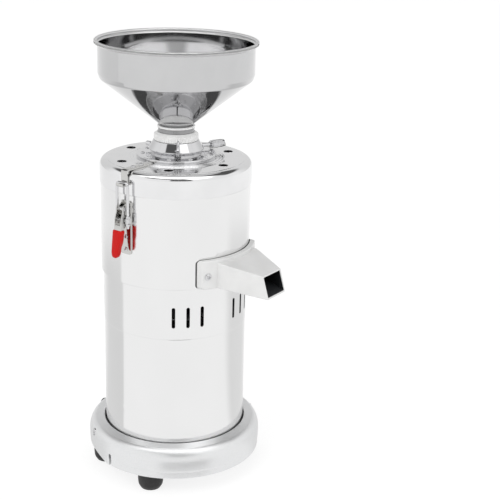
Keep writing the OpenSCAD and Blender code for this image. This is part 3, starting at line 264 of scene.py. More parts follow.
def hammered_paint(name):
    """Silver hammer paint on a casting: small dimples between raised veins, with metal flake."""
    f = Finish(name)
    wobble = f.noise(0.006, 2.0)
    cells = f.node("ShaderNodeTexVoronoi", {"feature": "SMOOTH_F1"}, Vector=f.place(), Scale=950.0,
                   Smoothness=0.5)
    fine = f.noise(0.0012, 3.0)
    dents = cells.ramp(0.05, 0.75) * 0.7 + fine * 0.3
    tone = f.colour(dents.ramp(0.15, 0.75), (0.74, 0.745, 0.75), (0.80, 0.805, 0.81))
    return f.surface(Base_Color=tone, Metallic=0.65, Roughness=wobble.ramp(0.3, 0.7, 0.30, 0.35),
                     Normal=f.bump(dents, 0.000045))


def cast_metal(name, shade, rough, grain=0.0011, depth=0.00003, metallic=1.0):
    """Cast or blasted metal: a fine even grain with a little tone in it."""
    f = Finish(name)
    fine = f.noise(grain, 4.0)
    cloud = f.noise(0.03, 2.0)
    tone = f.colour(cloud.ramp(0.25, 0.75), tuple(v * 0.93 for v in shade), shade)
    return f.surface(Base_Color=tone, Metallic=metallic, Roughness=fine.ramp(0.3, 0.7, rough * 0.85,
                                                                             rough * 1.15),
                     Normal=f.bump(fine, depth))


def satin_spout(name):
    """Pale cast spout, blasted and wiped: nearly even, slightly worn bright."""
    f = Finish(name)
    fine = f.noise(0.0009, 3.0)
    cloud = f.noise(0.035, 3.0)
    tone = f.colour(cloud.ramp(0.3, 0.75), (0.72, 0.72, 0.715), (0.78, 0.78, 0.775))
    return f.surface(Base_Color=tone, Metallic=0.2, Roughness=cloud.ramp(0.3, 0.75, 0.32, 0.42),
                     Normal=f.bump(fine, 0.000012))


def moulded_plastic(name, shade, rough, coat=0.0, grain=0.0004, depth=0.00001, gloss=0.5):
    """Moulded plastic: a fine mould grain, slow sink marks, small changes of gloss."""
    f = Finish(name)
    fine = f.noise(grain, 2.0)
    cloud = f.noise(0.012, 2.0)
    tone = f.colour(cloud.ramp(0.3, 0.7), tuple(v * 0.95 for v in shade), shade)
    sink = f.bump(f.noise(0.02, 1.0), 0.00012)
    return f.surface(Base_Color=tone, Roughness=cloud.ramp(0.3, 0.7, rough * 0.9, rough * 1.2),
                     Coat_Weight=coat, Coat_Roughness=0.06, Specular_IOR_Level=gloss,
                     Normal=f.bump(fine, depth, 1.0, sink))


def rubber(name, shade, rough=0.6):
    """Rubber: matt, with a dusty bloom."""
    f = Finish(name)
    fine = f.noise(0.0006, 3.0)
    dust = f.noise(0.008, 4.0)
    tone = f.colour(dust.ramp(0.45, 0.8), shade, tuple(v * 1.25 + 0.012 for v in shade))
    return f.surface(Base_Color=tone, Roughness=dust.ramp(0.2, 0.8, rough * 0.85, min(1.0, rough * 1.2)),
                     Specular_IOR_Level=0.35, Normal=f.bump(fine, 0.00003))


def grinding_stone(name):
    """Bonded corundum: coarse dark grains in a paler bond, with sparkling faces."""
    f = Finish(name)
    grains = f.node("ShaderNodeTexVoronoi", None, Vector=f.place(), Scale=900.0)
    tone = f.colour(grains.ramp(0.1, 0.6), (0.10, 0.10, 0.11), (0.33, 0.32, 0.31))
    return f.surface(Base_Color=tone, Roughness=grains.ramp(0.1, 0.7, 0.45, 0.95),
                     Normal=f.bump(grains, 0.0005))


def laminations(name):
    """Stacked electrical sheet: thin dark lines across a dull steel stack."""
    f = Finish(name)
    z = f.axes()[2]
    edges = (z * (FULL_TURN / 0.0005)).sine() * 0.5 + 0.5
    tone = f.colour(edges, (0.16, 0.16, 0.17), (0.34, 0.34, 0.36))
    return f.surface(Base_Color=tone, Metallic=0.9, Roughness=f.noise(0.01).ramp(0.3, 0.7, 0.4, 0.55),
                     Normal=f.bump(edges, 0.00002))


def copper_wire(name):
    """Enamelled winding wire, laid side by side."""
    f = Finish(name)
    x, y, z = f.axes()
    strands = (((x + y) * 0.7 + z) * (FULL_TURN / 0.0011)).sine() * 0.5 + 0.5
    tone = f.colour(strands, (0.32, 0.12, 0.05), (0.72, 0.34, 0.17))
    return f.surface(Base_Color=tone, Metallic=0.8, Roughness=f.noise(0.004).ramp(0.3, 0.7, 0.25, 0.4),
                     Normal=f.bump(strands, 0.0002))


MIRROR = polished_steel("cover mirror steel", (0.80, 0.80, 0.81), 0.035)
SPUN = spun_steel("spun cover steel", (0.85, 0.85, 0.855), 0.065)
HOPPER = hopper_steel("hopper steel")
SHELL = shell_steel("housing steel", (0.86, 0.86, 0.86), 0.10)
CHROME = polished_steel("collar chrome", (0.72, 0.72, 0.73), 0.02, 0.00003, 0.000001)
LATCH_STEEL = polished_steel("latch steel", (0.62, 0.615, 0.60), 0.06, 0.00008, 0.000003)
BAND_STEEL = polished_steel("clamp band steel", (0.36, 0.36, 0.365), 0.28)
SCREW_STEEL = cast_metal("plated screw steel", (0.74, 0.74, 0.75), 0.20, 0.0007, 0.000012)
HAMMERED = hammered_paint("hammered base paint")
SPOUT = satin_spout("satin spout metal")
# Near-black finish for the inside of the spout: painted shade.
SPOUT_SHADE = cast_metal("painted shade spout bore", (0.03, 0.032, 0.035), 0.55, 0.001, 0.00003, 0.2)
NYLON = moulded_plastic("white nylon", (0.92, 0.92, 0.915), 0.40, 0.0, 0.0008, 0.000002)
RED = moulded_plastic("red grip plastic", (0.55, 0.006, 0.004), 0.34, 0.0, 0.0006, 0.000004, 0.22)
BLACK = moulded_plastic("black plastic", (0.025, 0.025, 0.026), 0.42)
ROCKER = moulded_plastic("red rocker plastic", (0.50, 0.02, 0.015), 0.2, 0.4)
FOOT_RUBBER = rubber("black foot rubber", (0.022, 0.022, 0.022), 0.5)
GASKET = rubber("dark gasket rubber", (0.05, 0.05, 0.05), 0.7)
WHITE_RUBBER = rubber("white gasket rubber", (0.75, 0.75, 0.72), 0.55)
CAST = cast_metal("cast aluminium", (0.66, 0.66, 0.67), 0.42)
ZINC = cast_metal("zinc plate", (0.60, 0.60, 0.615), 0.36, 0.003, 0.00001)
GROUND = cast_metal("ground steel", (0.62, 0.63, 0.65), 0.22, 0.0008, 0.000006)
CAN = cast_metal("capacitor can", (0.78, 0.78, 0.79), 0.3)
STONE = grinding_stone("grinding stone")
CORE = laminations("core laminations")
COPPER = copper_wire("winding copper")


# ---------------------------------------------------------------- mesh tools

def turned(points, azimuth):
    """The points turned by azimuth degrees about Z."""
    a = math.radians(azimuth)
    turn = np.array([[math.cos(a), -math.sin(a), 0.0], [math.sin(a), math.cos(a), 0.0], [0.0, 0.0, 1.0]])
    return np.asarray(points) @ turn.T


def round_angles(count):
    """Evenly spaced angles of one full turn."""
    return np.linspace(0.0, FULL_TURN, count, endpoint=False)


def box(half_w, low, high):
    """The four corners of an upright rectangle about x = 0."""
    return [(-half_w, low), (half_w, low), (half_w, high), (-half_w, high)]


def grid_faces(rows, cols, wrap_rows, wrap_cols):
    """Quads of a grid of rows by cols points, closed in either direction."""
    i = np.arange(rows if wrap_rows else rows - 1)[:, None]
    j = np.arange(cols if wrap_cols else cols - 1)[None, :]
    i2, j2 = (i + 1) % rows, (j + 1) % cols
    return np.stack(np.broadcast_arrays(i * cols + j, i2 * cols + j, i2 * cols + j2, i * cols + j2),
                    -1).reshape(-1, 4)


def sheet_of(points, wrap_rows=False, wrap_cols=False, caps=False):
    """A grid of points as (points, faces). With caps, the first and the last row are closed by one
    face each."""
    rows, cols = points.shape[:2]
    faces = grid_faces(rows, cols, wrap_rows, wrap_cols).tolist()
    if caps:
        faces.append(list(range(cols)))
        faces.append(list(range((rows - 1) * cols, rows * cols)))
    return points.reshape(-1, 3), faces


def joined(parts):
    """Several (points, faces) as one."""
    points, faces, start = [], [], 0
    for p, f in parts:
        points.append(np.asarray(p))
        faces += [[k + start for k in face] for face in f]
        start += len(p)
    return np.concatenate(points), faces


def moved(part, azimuth=0.0, shift=(0.0, 0.0, 0.0)):
    """(points, faces) shifted and then turned about Z."""
    return turned(np.asarray(part[0]) + np.array(shift), azimuth), part[1]


def rounded(corners, size=1.0, steps=5):
    """A closed outline whose corners (x, y) or (x, y, radius) become arcs of that radius."""
    corners = [(c[0], c[1], c[2] if len(c) > 2 else size) for c in corners]
    out = []
    for k, (x, y, r) in enumerate(corners):
        here = np.array([x, y])
        before = np.array(corners[k - 1][:2]) - here
        after = np.array(corners[(k + 1) % len(corners)][:2]) - here
        la, lb = np.linalg.norm(before), np.linalg.norm(after)
        ua, ub = before / la, after / lb
        half = 0.5 * math.acos(max(-1.0, min(1.0, float(ua @ ub))))
        if r <= 0 or half < 0.05 or half > 1.55:
            out.append(here[None])
            continue
        reach = min(r / math.tan(half), 0.48 * la, 0.48 * lb)
        r = reach * math.tan(half)
        centre = here + (ua + ub) / np.linalg.norm(ua + ub) * (r / math.sin(half))
        start, end = here + ua * reach - centre, here + ub * reach - centre
        sweep = math.atan2(start[0] * end[1] - start[1] * end[0], start @ end)
        t = np.linspace(0.0, sweep, steps + 1)[:, None]
        out.append(centre + np.cos(t) * start + np.sin(t) * np.array([-start[1], start[0]]))
    return np.concatenate(out)


def held(outline, margin=0.4, longest=4.0):
    """The closed outline with a point close to both ends of each long side,
    which keeps smooth shading at the corners."""
    steps = np.roll(outline, -1, 0) - outline
    out = []
    for point, step, size in zip(outline, steps, np.linalg.norm(steps, axis=1)):
        shares = [0.0, margin / size, 1.0 - margin / size] if size > longest else [0.0]
        out += [point + step * share for share in shares]
    return np.array(out)


def revolved(outline, turns=160, first=0.0, sweep=360.0):
    """The closed outline (r, z) carried round Z: (r sin t, -r cos t, z) for t round the turn."""
    outline = held(np.asarray(outline, float))
    whole = sweep >= 360.0
    t = np.radians(first + np.linspace(0.0, sweep, turns, endpoint=not whole))[:, None]
    r, z = outline[:, 0][None], outline[:, 1][None]
    points = np.stack([r * np.sin(t), -r * np.cos(t), z + 0.0 * t], -1)
    return sheet_of(points, wrap_rows=whole, wrap_cols=True, caps=not whole)


def swept(path, radius, sides=20, flat=1.0):
    """A round bar along path: at each point a circle square to the path. radius may change along it."""
    path = np.asarray(path, float)
    along = np.gradient(path, axis=0)
    along /= np.linalg.norm(along, axis=1)[:, None]
    side = np.cross(along[0], [0.0, 0.0, 1.0] if abs(along[0][2]) < 0.9 else [1.0, 0.0, 0.0])
    sides_at = []
    for tangent in along:
        side = side - (side @ tangent) * tangent
        side /= np.linalg.norm(side)
        sides_at.append(side)
    a = np.array(sides_at)[:, None]
    b = np.cross(along, np.array(sides_at))[:, None]
    t = round_angles(sides)[None, :, None]
    r = np.broadcast_to(np.asarray(radius, float), len(path))[:, None, None]
    return sheet_of(path[:, None] + r * (np.cos(t) * a + flat * np.sin(t) * b), wrap_cols=True, caps=True)


def plate(outline, low, high, bevel=0.3, plane="yz"):
    """An outline with its third coordinate from low to high, its edges rounded by stepping the
    outline inwards."""
    outline = np.asarray(outline, float)
    ahead_of = np.roll(outline, -1, 0) - outline
    behind = outline - np.roll(outline, 1, 0)
    tangent = ahead_of / np.linalg.norm(ahead_of, axis=1)[:, None] + behind / np.linalg.norm(behind,
                                                                                             axis=1)[:,
                                                                                                     None]
    tangent /= np.linalg.norm(tangent, axis=1)[:, None]
    area = np.sum(outline[:, 0] * np.roll(outline[:, 1], -1) - np.roll(outline[:, 0], -1) * outline[:, 1])
    inwards = np.stack([-tangent[:, 1], tangent[:, 0]], -1) * math.copysign(1.0, area)
    t = np.radians([0.0, 30.0, 60.0, 90.0])
    inset = np.concatenate([[bevel * 1.8], bevel * (1.0 - np.sin(t))])
    height = np.concatenate([[0.0], bevel * (1.0 - np.cos(t))])
    rings = [(i, low + h) for i, h in zip(inset, height)] + [(i, high - h) for i,
                                                             h in zip(inset[::-1], height[::-1])]
    rows = [np.column_stack([outline + inwards * i, np.full(len(outline), h)]) for i, h in rings]
    order = {"yz": [2, 0, 1], "xy": [0, 1, 2], "xz": [0, 2, 1]}[plane]
    return sheet_of(np.stack(rows)[:, :, order], wrap_cols=True, caps=True)


def slab(outline, near, far, bevel=0.0):
    """An upright plate at -Y, from the distance near to the distance far."""
    points, faces = plate(outline, near, far, bevel, "xz")
    return points * [1.0, -1.0, 1.0], faces


def piece(name, part, body, finish, stands_for=(), sharp=35.0, cut=None):
    """Makes the mesh object: doubles merged, faces turned outwards, cutters taken out,
    smooth up to the sharp angle."""
    points, faces = part
    mesh = bpy.data.meshes.new(name)
    mesh.from_pydata((np.asarray(points) * MM).tolist(), [], faces)
    clean(mesh)
    made = added(name, mesh)
    if cut is not None:
        subtract(made, cut)
    mesh = made.data
    mesh.materials.clear()
    mesh.materials.append(finish)
    mesh.shade_smooth()
    mesh.set_sharp_from_angle(angle=math.radians(sharp))
    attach(made, body)
    if stands_for:
        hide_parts(*stands_for)
    return made


def clean(mesh):
    """Merges double points and turns the faces of closed shells outwards."""
    work = bmesh.new()
    work.from_mesh(mesh)
    bmesh.ops.remove_doubles(work, verts=work.verts, dist=1e-7)
    bmesh.ops.recalc_face_normals(work, faces=work.faces)
    work.to_mesh(mesh)
    work.free()


def subtract(made, cut):
    """Takes the closed cutter shape away from the object and keeps the result as its mesh."""
    mesh = bpy.data.meshes.new("cutter")
    mesh.from_pydata((np.asarray(cut[0]) * MM).tolist(), [], cut[1])
    clean(mesh)
    cutter = added("cutter", mesh)
    change = made.modifiers.new("cut", "BOOLEAN")
    change.operation = "DIFFERENCE"
    change.solver = "EXACT"
    change.object = cutter
    result = bpy.data.meshes.new_from_object(made.evaluated_get(bpy.context.evaluated_depsgraph_get()))
    made.modifiers.clear()
    made.data = result
    bpy.data.objects.remove(cutter)


def rod_at(azimuth, r0, r1, z, radius, sides=48):
    """A straight cylinder that runs outwards at azimuth, as (points, faces)."""
    return moved(swept(np.array([[0.0, -r0, z], [0.0, -r1, z]]), radius, sides), azimuth)


def pillar(azimuth, r, z0, z1, radius, sides=48):
    """A straight upright cylinder as (points, faces)."""
    return moved(swept(np.array([[0.0, -r, z0], [0.0, -r, z1]]), radius, sides), azimuth)


def domed_screw(head_r, head_h, recess=0.55, depth=0.62):
    """A cross-recessed dome: height h(1 - (r/R)^3)^0.5, sunk by a smooth cross,
    over a short collar. Stands on z = 0."""
    rings = np.linspace(0.0, 1.0, 22)[:, None]
    t = round_angles(72)[None]
    x, y = rings * head_r * np.cos(t), rings * head_r * np.sin(t)
    dome = head_h * (0.35 + 0.65 * np.sqrt(np.clip(1.0 - rings ** 3, 0.0, 1.0))) + 0.0 * t
    arm = head_r * 0.13
    near = np.minimum(np.abs(x), np.abs(y))
    inside = np.clip((arm - near) / (0.5 * arm) + 0.5, 0.0, 1.0) * np.clip((recess - rings) / 0.08 + 0.5,
                                                                           0.0, 1.0)
    z = dome - depth * head_h * inside
    top = np.stack([x, y, z], -1)
    foot = np.stack([x[-1], y[-1], 0.0 * x[-1]], -1)[None]
    return sheet_of(np.concatenate([top, foot]), wrap_cols=True, caps=True)


def outwards(part, azimuth, r, z):
    """A shape that stands on z = 0 laid on its side, so that it points outwards from distance r at
    azimuth."""
    p = np.asarray(part[0])
    return turned(np.stack([p[:, 0], -(p[:, 2] + r), p[:, 1] + z], -1), azimuth), part[1]


# ---------------------------------------------------------------- sizes read from the CAD nodes

CAD_BEAD = 0.45
shell_r = span("motor_shell")[1][0] - CAD_BEAD
shroud_r = span("vent_shroud")[1][0]
deck_z = span("motor_shell")[0][2]
shroud_z = span("vent_shroud")[0][2]
casing_z, casing_top = span("outer_casing")[0][2], span("outer_casing")[1][2]
casing_r = span("outer_casing")[1][0]
cover_r = span("cover")[1][0]
cover_z = span("cover")[0][2]
ring_r = span("stepped_ring")[1][0]
ring_top = span("stepped_ring")[1][2]
RING_HEIGHT = 6.1
HOLE_CIRCLE, HOLE_R = 81.0, 6.75
cover_top = ring_top - RING_HEIGHT
collar_r = span("adjusting_collar")[1][0]
collar_top = span("adjusting_collar")[1][2]
coupling_r = 31.3
coupling_z = collar_top + 0.2
coupling_top = span("hopper_coupling")[1][2]
hopper_top = span("hopper")[1][2]
rim_r = span("hopper")[1][0]
sole_z = span("rubber_feet")[0][2]
LATCHES = {"left": -92.0, "right": 88.0}
FEET = (-72.3, -137.1, 42.9, 107.7)
FOOT_CIRCLE = 102.7
SIDE_SCREWS, SIDE_SCREW_Z = (-123.0, 57.0), 33.0
BASE_RIM, BASE_SWELL = 125.3, 1.3
REAR = 180.0
GLAND_Z, GLAND_BORE, GLAND_THREAD = 20.0, 4.2, 8.0
SWITCH_Z = 64.0
LEVER_AZIMUTH, HANDLE_AZIMUTH = -50.0, 65.0
FLANGE_R, SPOUT_SCREW_AZIMUTH, SPOUT_SCREW_Z = 114.2, 30.0, 298.3
STRAP_HALF_WIDTH, HOOK_DROP = 5.5, 17.6


# ---------------------------------------------------------------- hopper

def hopper():
    """Thin spun shell: neck, straight cone, soft knuckle, upright band and a rolled rim,
    as one closed outline."""
    neck, wall, band = 23.2, 1.0, 108.3
    bottom, flange_z = coupling_z + 3.0, coupling_top + 6.0
    knuckle = flange_z + 69.5
    top = hopper_top - 2.5
    t = np.radians(np.linspace(-150.0, 150.0, 28))[:, None]
    bead = np.concatenate([rim_r - 2.5 - 2.5 * np.cos(t), top - 2.5 * np.sin(t)], 1)[::-1]
    outside = [(neck, bottom, 0), (neck, flange_z + 4.0, 3.0), (band - 2.2, knuckle - 0.2, 7.0),
               (band, knuckle + 7.0, 8.0), (band, top - 4.0, 2.0)]
    inside = [(band - wall, top - 3.5, 2.0), (band - wall, knuckle + 7.0, 8.0),
              (band - wall - 2.2, knuckle + 0.9, 7.0), (neck - wall, flange_z + 4.7, 3.0),
              (neck - wall, bottom, 0)]
    outline = rounded(outside + [(*bead[0], 0), *[(*b, 0) for b in bead[1:-1]], (*bead[-1], 0)] + inside,
                      0.0, 10)
    return piece("hopper_shell", revolved(outline, 224), "hopper", HOPPER, ["hopper"],
                 60.0)


def neck_trim():
    """Clamp band with its tag, and the pale bead that the neck's flange makes above it."""
    z = coupling_top
    band = revolved(rounded([(23.3, z + 0.1), (25.3, z + 0.1), (25.3, z + 5.8), (23.3, z + 5.8)], 0.4, 3),
                    128)
    tag = moved(slab(rounded(box(1.6, 0.4, 6.1), 0.4, 3), 25.2, 26.3, 0.25), -64.0, (0.0, 0.0, z))
    piece("neck_clamp_band", joined([band, tag]), "hopper", BAND_STEEL)
    bead = revolved(rounded([(23.25, z + 6.0), (26.0, z + 6.0), (26.8, z + 7.6), (26.0, z + 9.2),
                             (23.25, z + 9.2)], 1.0, 5), 128)
    piece("neck_bead", bead, "hopper", NYLON)


def ribbed_coupling():
    """Nylon ring: radius R - depth (1 - |cos(n t / 2)|) down its side,
    with a smooth chamfer and a plain spigot below."""
    ribs, depth = 48, 0.75
    low, high = coupling_z, coupling_top
    outline = rounded([(20.0, collar_top - 9.5, 0), (26.1, collar_top - 9.5, 0.5), (26.1, low, 0.2),
                       (coupling_r, low, 0.6), (coupling_r, high - 3.2, 1.2), (26.8, high, 0.8),
                       (23.35, high, 0.3), (23.35, low + 3.0, 0), (20.0, low + 3.0, 0)], 0.3, 5)
    points, faces = revolved(outline, ribs * 12)
    points = points.copy()
    r = np.hypot(points[:, 0], points[:, 1])
    t = np.arctan2(points[:, 0], -points[:, 1])
    side = np.clip((r - 28.5) / 2.0, 0.0, 1.0) * np.clip((points[:, 2] - low + 0.5) / 1.0, 0.0, 1.0)
    scale = 1.0 - side * depth * (1.0 - np.abs(np.cos(ribs * t / 2.0)) ** 0.7) / np.maximum(r, 1.0)
    points[:, :2] *= scale[:, None]
    return piece("ribbed_coupling", (points, faces), "hopper", NYLON, ["hopper_coupling"],
                 60.0)


# ---------------------------------------------------------------- fineness adjustment

def collar():
    """Chromed collar: barrel in the ring, flared cone above it,
    bore with a step for the coupling's spigot."""
    bore, thread, barrel = 26.5, 30.0, 35.95
    low = span("adjusting_collar")[0][2]
    wide = collar_top - 11.7
    outline = rounded([(thread, low, 0.3), (barrel, low, 0.3), (barrel, ring_top, 0.2),
                       (34.0, ring_top, 0.2), (34.0, ring_top + 1.6, 0.6), (collar_r - 1.2, wide - 2.2,
                                                                            0.8), (collar_r, wide - 0.8,
                                                                                   0.5), (collar_r,
                                                                                          wide + 0.3, 0.7),
                       (32.0, collar_top, 0.7), (bore, collar_top, 0.4), (bore, collar_top - 10.0, 0.3),
                       (thread, collar_top - 13.5, 0.5)], 0.3, 5)
    slot = moved(plate(rounded(box(1.1, -45.0, -20.0), 0.0), ring_top + 2.0,
                       collar_top + 3.0, 0.0, "xy"), LEVER_AZIMUTH)
    return piece("chrome_collar", revolved(outline, 192), "collar", CHROME, ["adjusting_collar"],
                 cut=slot)


def adjusting_handle():
    """Rod in the collar with a knurled knob: the knob's radius is R + k |sin(n t)| between two
    turned ends."""
    azimuth, z, reach = HANDLE_AZIMUTH, ring_top + 5.8, 77.0
    rod = rod_at(azimuth, 32.0, reach - 21.0, z, 2.65)
    s = np.array([0.0, 0.0, 0.5, 1.6, 2.2, 3.2, 3.6, 19.4, 19.8, 20.8, 21.4, 22.5, 23.0, 23.0])
    base = np.array([0.0, 3.9, 4.7, 5.2, 4.7, 4.7, 5.2, 5.2, 4.7, 4.7, 5.4, 5.2, 4.4, 0.0])
    grip = np.array([0, 0, 0, 0, 0, 0, 1, 1, 0, 0, 0, 0, 0, 0])
    t = round_angles(144)
    r = base[:, None] + 0.35 * grip[:, None] * np.abs(np.sin(12.0 * t))[None]
    knob = np.stack([r * np.cos(t), r * np.sin(t), s[:, None] + 0.0 * r], -1)
    knob = outwards(sheet_of(knob, wrap_cols=True), azimuth, reach - 23.0, z)
    return piece("handle_rod_and_knob", joined([rod, knob]), "collar", CHROME,
                 ["adjusting_handle"], 30.0)


def lock_screw():
    """Round-headed clamping screw on the far side of the collar, with a slot across its end."""
    head = revolved(rounded([(0.0, 0.0, 0), (3.1, 0.0, 0.3), (3.3, 1.0, 0.3), (3.3, 6.5, 0.3),
                             (2.6, 7.8, 0.8), (0.0, 8.0, 0)], 0.3), 64)
    slot = plate(box(4.0, -0.45, 0.45), 6.6, 9.0, 0.0, "xy")
    azimuth, z = -168.0, ring_top + 8.3
    return piece("lock_screw_head", outwards(head, azimuth, collar_r, z), "collar", CHROME,
                 ["lock_screw"], cut=outwards(slot, azimuth, collar_r, z))


def lock_lever():
    """Flat eye and arm, tapering into a round stem with a crosswise bar at its end,
    swung up by its rest angle."""
    azimuth, tilt, length = LEVER_AZIMUTH, math.radians(62.0), 24.0
    pivot_r, pivot_z = collar_r + 1.0, collar_top - 12.6
    t = round_angles(40)
    eye = plate(3.4 * np.stack([np.cos(t), np.sin(t)], -1), -2.0, 2.0, 0.4)
    arm = plate(rounded([(-1.0, -2.4), (-9.0, -2.0), (-15.6, -1.4), (-15.6, 1.4), (-9.0, 2.0),
                         (-1.0, 2.4)], 0.5, 4), -1.8, 1.8, 0.5)
    stem_s = np.array([14.8, 15.4, 22.6, 23.6, 24.0])
    stem = swept(np.stack([0 * stem_s, -stem_s, 0 * stem_s], -1), np.array([1.5, 1.55, 1.5, 1.3, 0.5]))
    bar_s = np.array([-6.0, -5.7, -5.0, 5.0, 5.7, 6.0])
    bar = swept(np.stack([bar_s, 0 * bar_s - length + 4.5, 0 * bar_s], -1),
                np.array([0.5, 1.1, 1.3, 1.3, 1.1, 0.5]))
    points, faces = joined([eye, arm, stem, bar])
    c, s = math.cos(-tilt), math.sin(-tilt)
    points = points @ np.array([[1.0, 0.0, 0.0], [0.0, c, s], [0.0, -s, c]])
    return piece("lock_lever_arm", moved((points, faces), azimuth, (0.0, -pivot_r, pivot_z)), "lock_lever",
                 CHROME, ["lock_lever"])


# ---------------------------------------------------------------- cover

def cover():
    """Pressed lid: spun flat with three raised rings, a tight rolled shoulder and an upright skirt,
    six round holes."""
    wall, flat = 1.2, 97.0
    t = np.radians(np.linspace(90.0, 0.0, 14))[:, None]
    shoulder = np.concatenate([flat + 1.0 + (cover_r - flat - 1.0) * np.cos(t),
                               cover_top - 9.4 + 8.8 * np.sin(t)], 1)
    under = np.concatenate([flat + 1.0 + (cover_r - wall - flat - 1.0) * np.cos(t),
                            cover_top - 9.4 + 7.4 * np.sin(t)], 1)
    rings = [(r + d, cover_top + h) for r in (58.9, 63.3, 67.7) for d,
             h in ((-1.3, 0), (-0.8, 0.75), (0.8, 0.75), (1.3, 0))]
    top = rounded([(50.0, cover_top, 0), *[(r, z, 0.5) for r, z in rings], (flat - 1.0, cover_top, 0.6),
                   (flat + 0.6, cover_top - 0.5, 0.5)], 0.4, 4)
    outline = np.concatenate([top, shoulder[1:], [[cover_r, cover_z + 0.5], [cover_r - 0.3, cover_z]],
                              [[cover_r - wall, cover_z]], under[::-1], [[50.0, cover_top - 1.5]]])
    holes = joined([pillar(60.0 * k, HOLE_CIRCLE, cover_top - 9.0, cover_top + 4.0, HOLE_R)
                    for k in range(6)])
    return piece("cover_lid", revolved(outline, 240), "frame", SPUN, ["cover"], 32.0,
                 cut=holes)


def hole_rims():
    """Small rolled lip round each hole of the cover: half a torus standing on the sheet."""
    s = round_angles(56)[:, None]
    t = np.radians(np.linspace(-20.0, 200.0, 9))[None]
    middle, thick = HOLE_R + 0.2, 0.32
    r = middle + thick * np.cos(t)
    lip = np.stack([r * np.cos(s), r * np.sin(s) - HOLE_CIRCLE,
                    cover_top + 0.05 + thick * np.sin(t) + 0.0 * s], -1)
    lip = sheet_of(lip, wrap_rows=True, wrap_cols=True)
    return piece("cover_hole_lips", joined([moved(lip, 60.0 * k) for k in range(6)]), "frame",
                 MIRROR)


def stepped_ring():
    """Turned ring on the cover: a polished face, a fine shadow groove and a rounded outer edge."""
    low = span("stepped_ring")[0][2]
    outline = rounded([(36.0, low, 0.3), (44.0, low, 0.3), (44.0, cover_top - 1.5, 0),
                       (49.9, cover_top - 1.5, 0), (49.9, cover_top, 0), (ring_r - 0.3, cover_top, 0.2),
                       (ring_r, cover_top + 0.5, 0.3), (ring_r, ring_top, 1.1), (40.4, ring_top, 0.15),
                       (40.0, ring_top - 0.4, 0.1), (39.6, ring_top, 0.15), (36.0, ring_top, 0.4)], 0.3, 5)
    return piece("turned_ring", revolved(outline, 200), "frame", MIRROR, ["stepped_ring"])


# ---------------------------------------------------------------- housing

def casing():
    """Polished casing: straight sheet with a rolled bottom lip and the window that the spout fills."""
    wall = 1.2
    outline = rounded([(casing_r - wall, casing_z, 0.2), (casing_r - 0.5, casing_z, 0.4),
                       (casing_r, casing_z + 0.6, 0.5), (casing_r, casing_top, 0.3),
                       (casing_r - wall, casing_top, 0.3)], 0.3, 4)
    window = plate(box(38.0, -casing_r - 8.0, -90.0), 288.0, 313.0, 0.0, "xy")
    return piece("polished_casing", revolved(outline, 256), "frame", SHELL,
                 ["outer_casing"], cut=window)


def stadium(width, height, steps=12):
    """Outline of a slot with round ends."""
    t = np.linspace(0.0, math.pi, steps)
    r = width / 2.0
    upper = np.stack([r * np.cos(t), height / 2.0 - r + r * np.sin(t)], -1)
    return np.concatenate([upper, -upper])


def vented_shroud():
    """Upper housing sheet with its groups of three upright slots,
    and a rounded joint line at the bottom."""
    wall, slot_w, slot_h, slot_z = 1.5, 5.0, 30.4, 221.7
    outline = rounded([(shroud_r - wall, shroud_z, 0.2), (shroud_r, shroud_z, 0.5),
                       (shroud_r, casing_z, 0.2), (shroud_r - wall, casing_z, 0.2)], 0.3, 4)
    slots = []
    for middle in (-43.0, 11.3, 107.0, -149.6):
        for step in (-11.3, 0.0, 11.3):
            slot = slab(stadium(slot_w, slot_h), shroud_r - 6.0, shroud_r + 6.0)
            slots.append(moved(slot, middle + step, (0.0, 0.0, slot_z + slot_h / 2.0)))
    return piece("vented_shroud", revolved(outline, 256), "frame", SHELL, ["vent_shroud"],
                 cut=joined(slots))


def motor_shell():
    """Lower housing sheet with one rolled bead and the switch's cut-out."""
    wall, bead_z = 1.5, 86.0
    t = np.linspace(0.0, math.pi, 9)
    bead = np.stack([shell_r + 0.16 * np.sin(t) ** 2, bead_z - 5.0 * np.cos(t)], -1)
    outline = np.concatenate([[[shell_r - wall, deck_z], [shell_r, deck_z]], bead,
                              [[shell_r, shroud_z - 0.5], [shell_r - 0.4, shroud_z],
                               [shell_r - wall, shroud_z]]])
    opening = moved(slab(rounded(box(10.0, 50.0, 78.0), 1.0), 90.0, 112.0), REAR)
    return piece("motor_housing", revolved(outline, 256), "frame", SHELL, ["motor_shell"],
                 50.0, cut=opening)


# ---------------------------------------------------------------- base

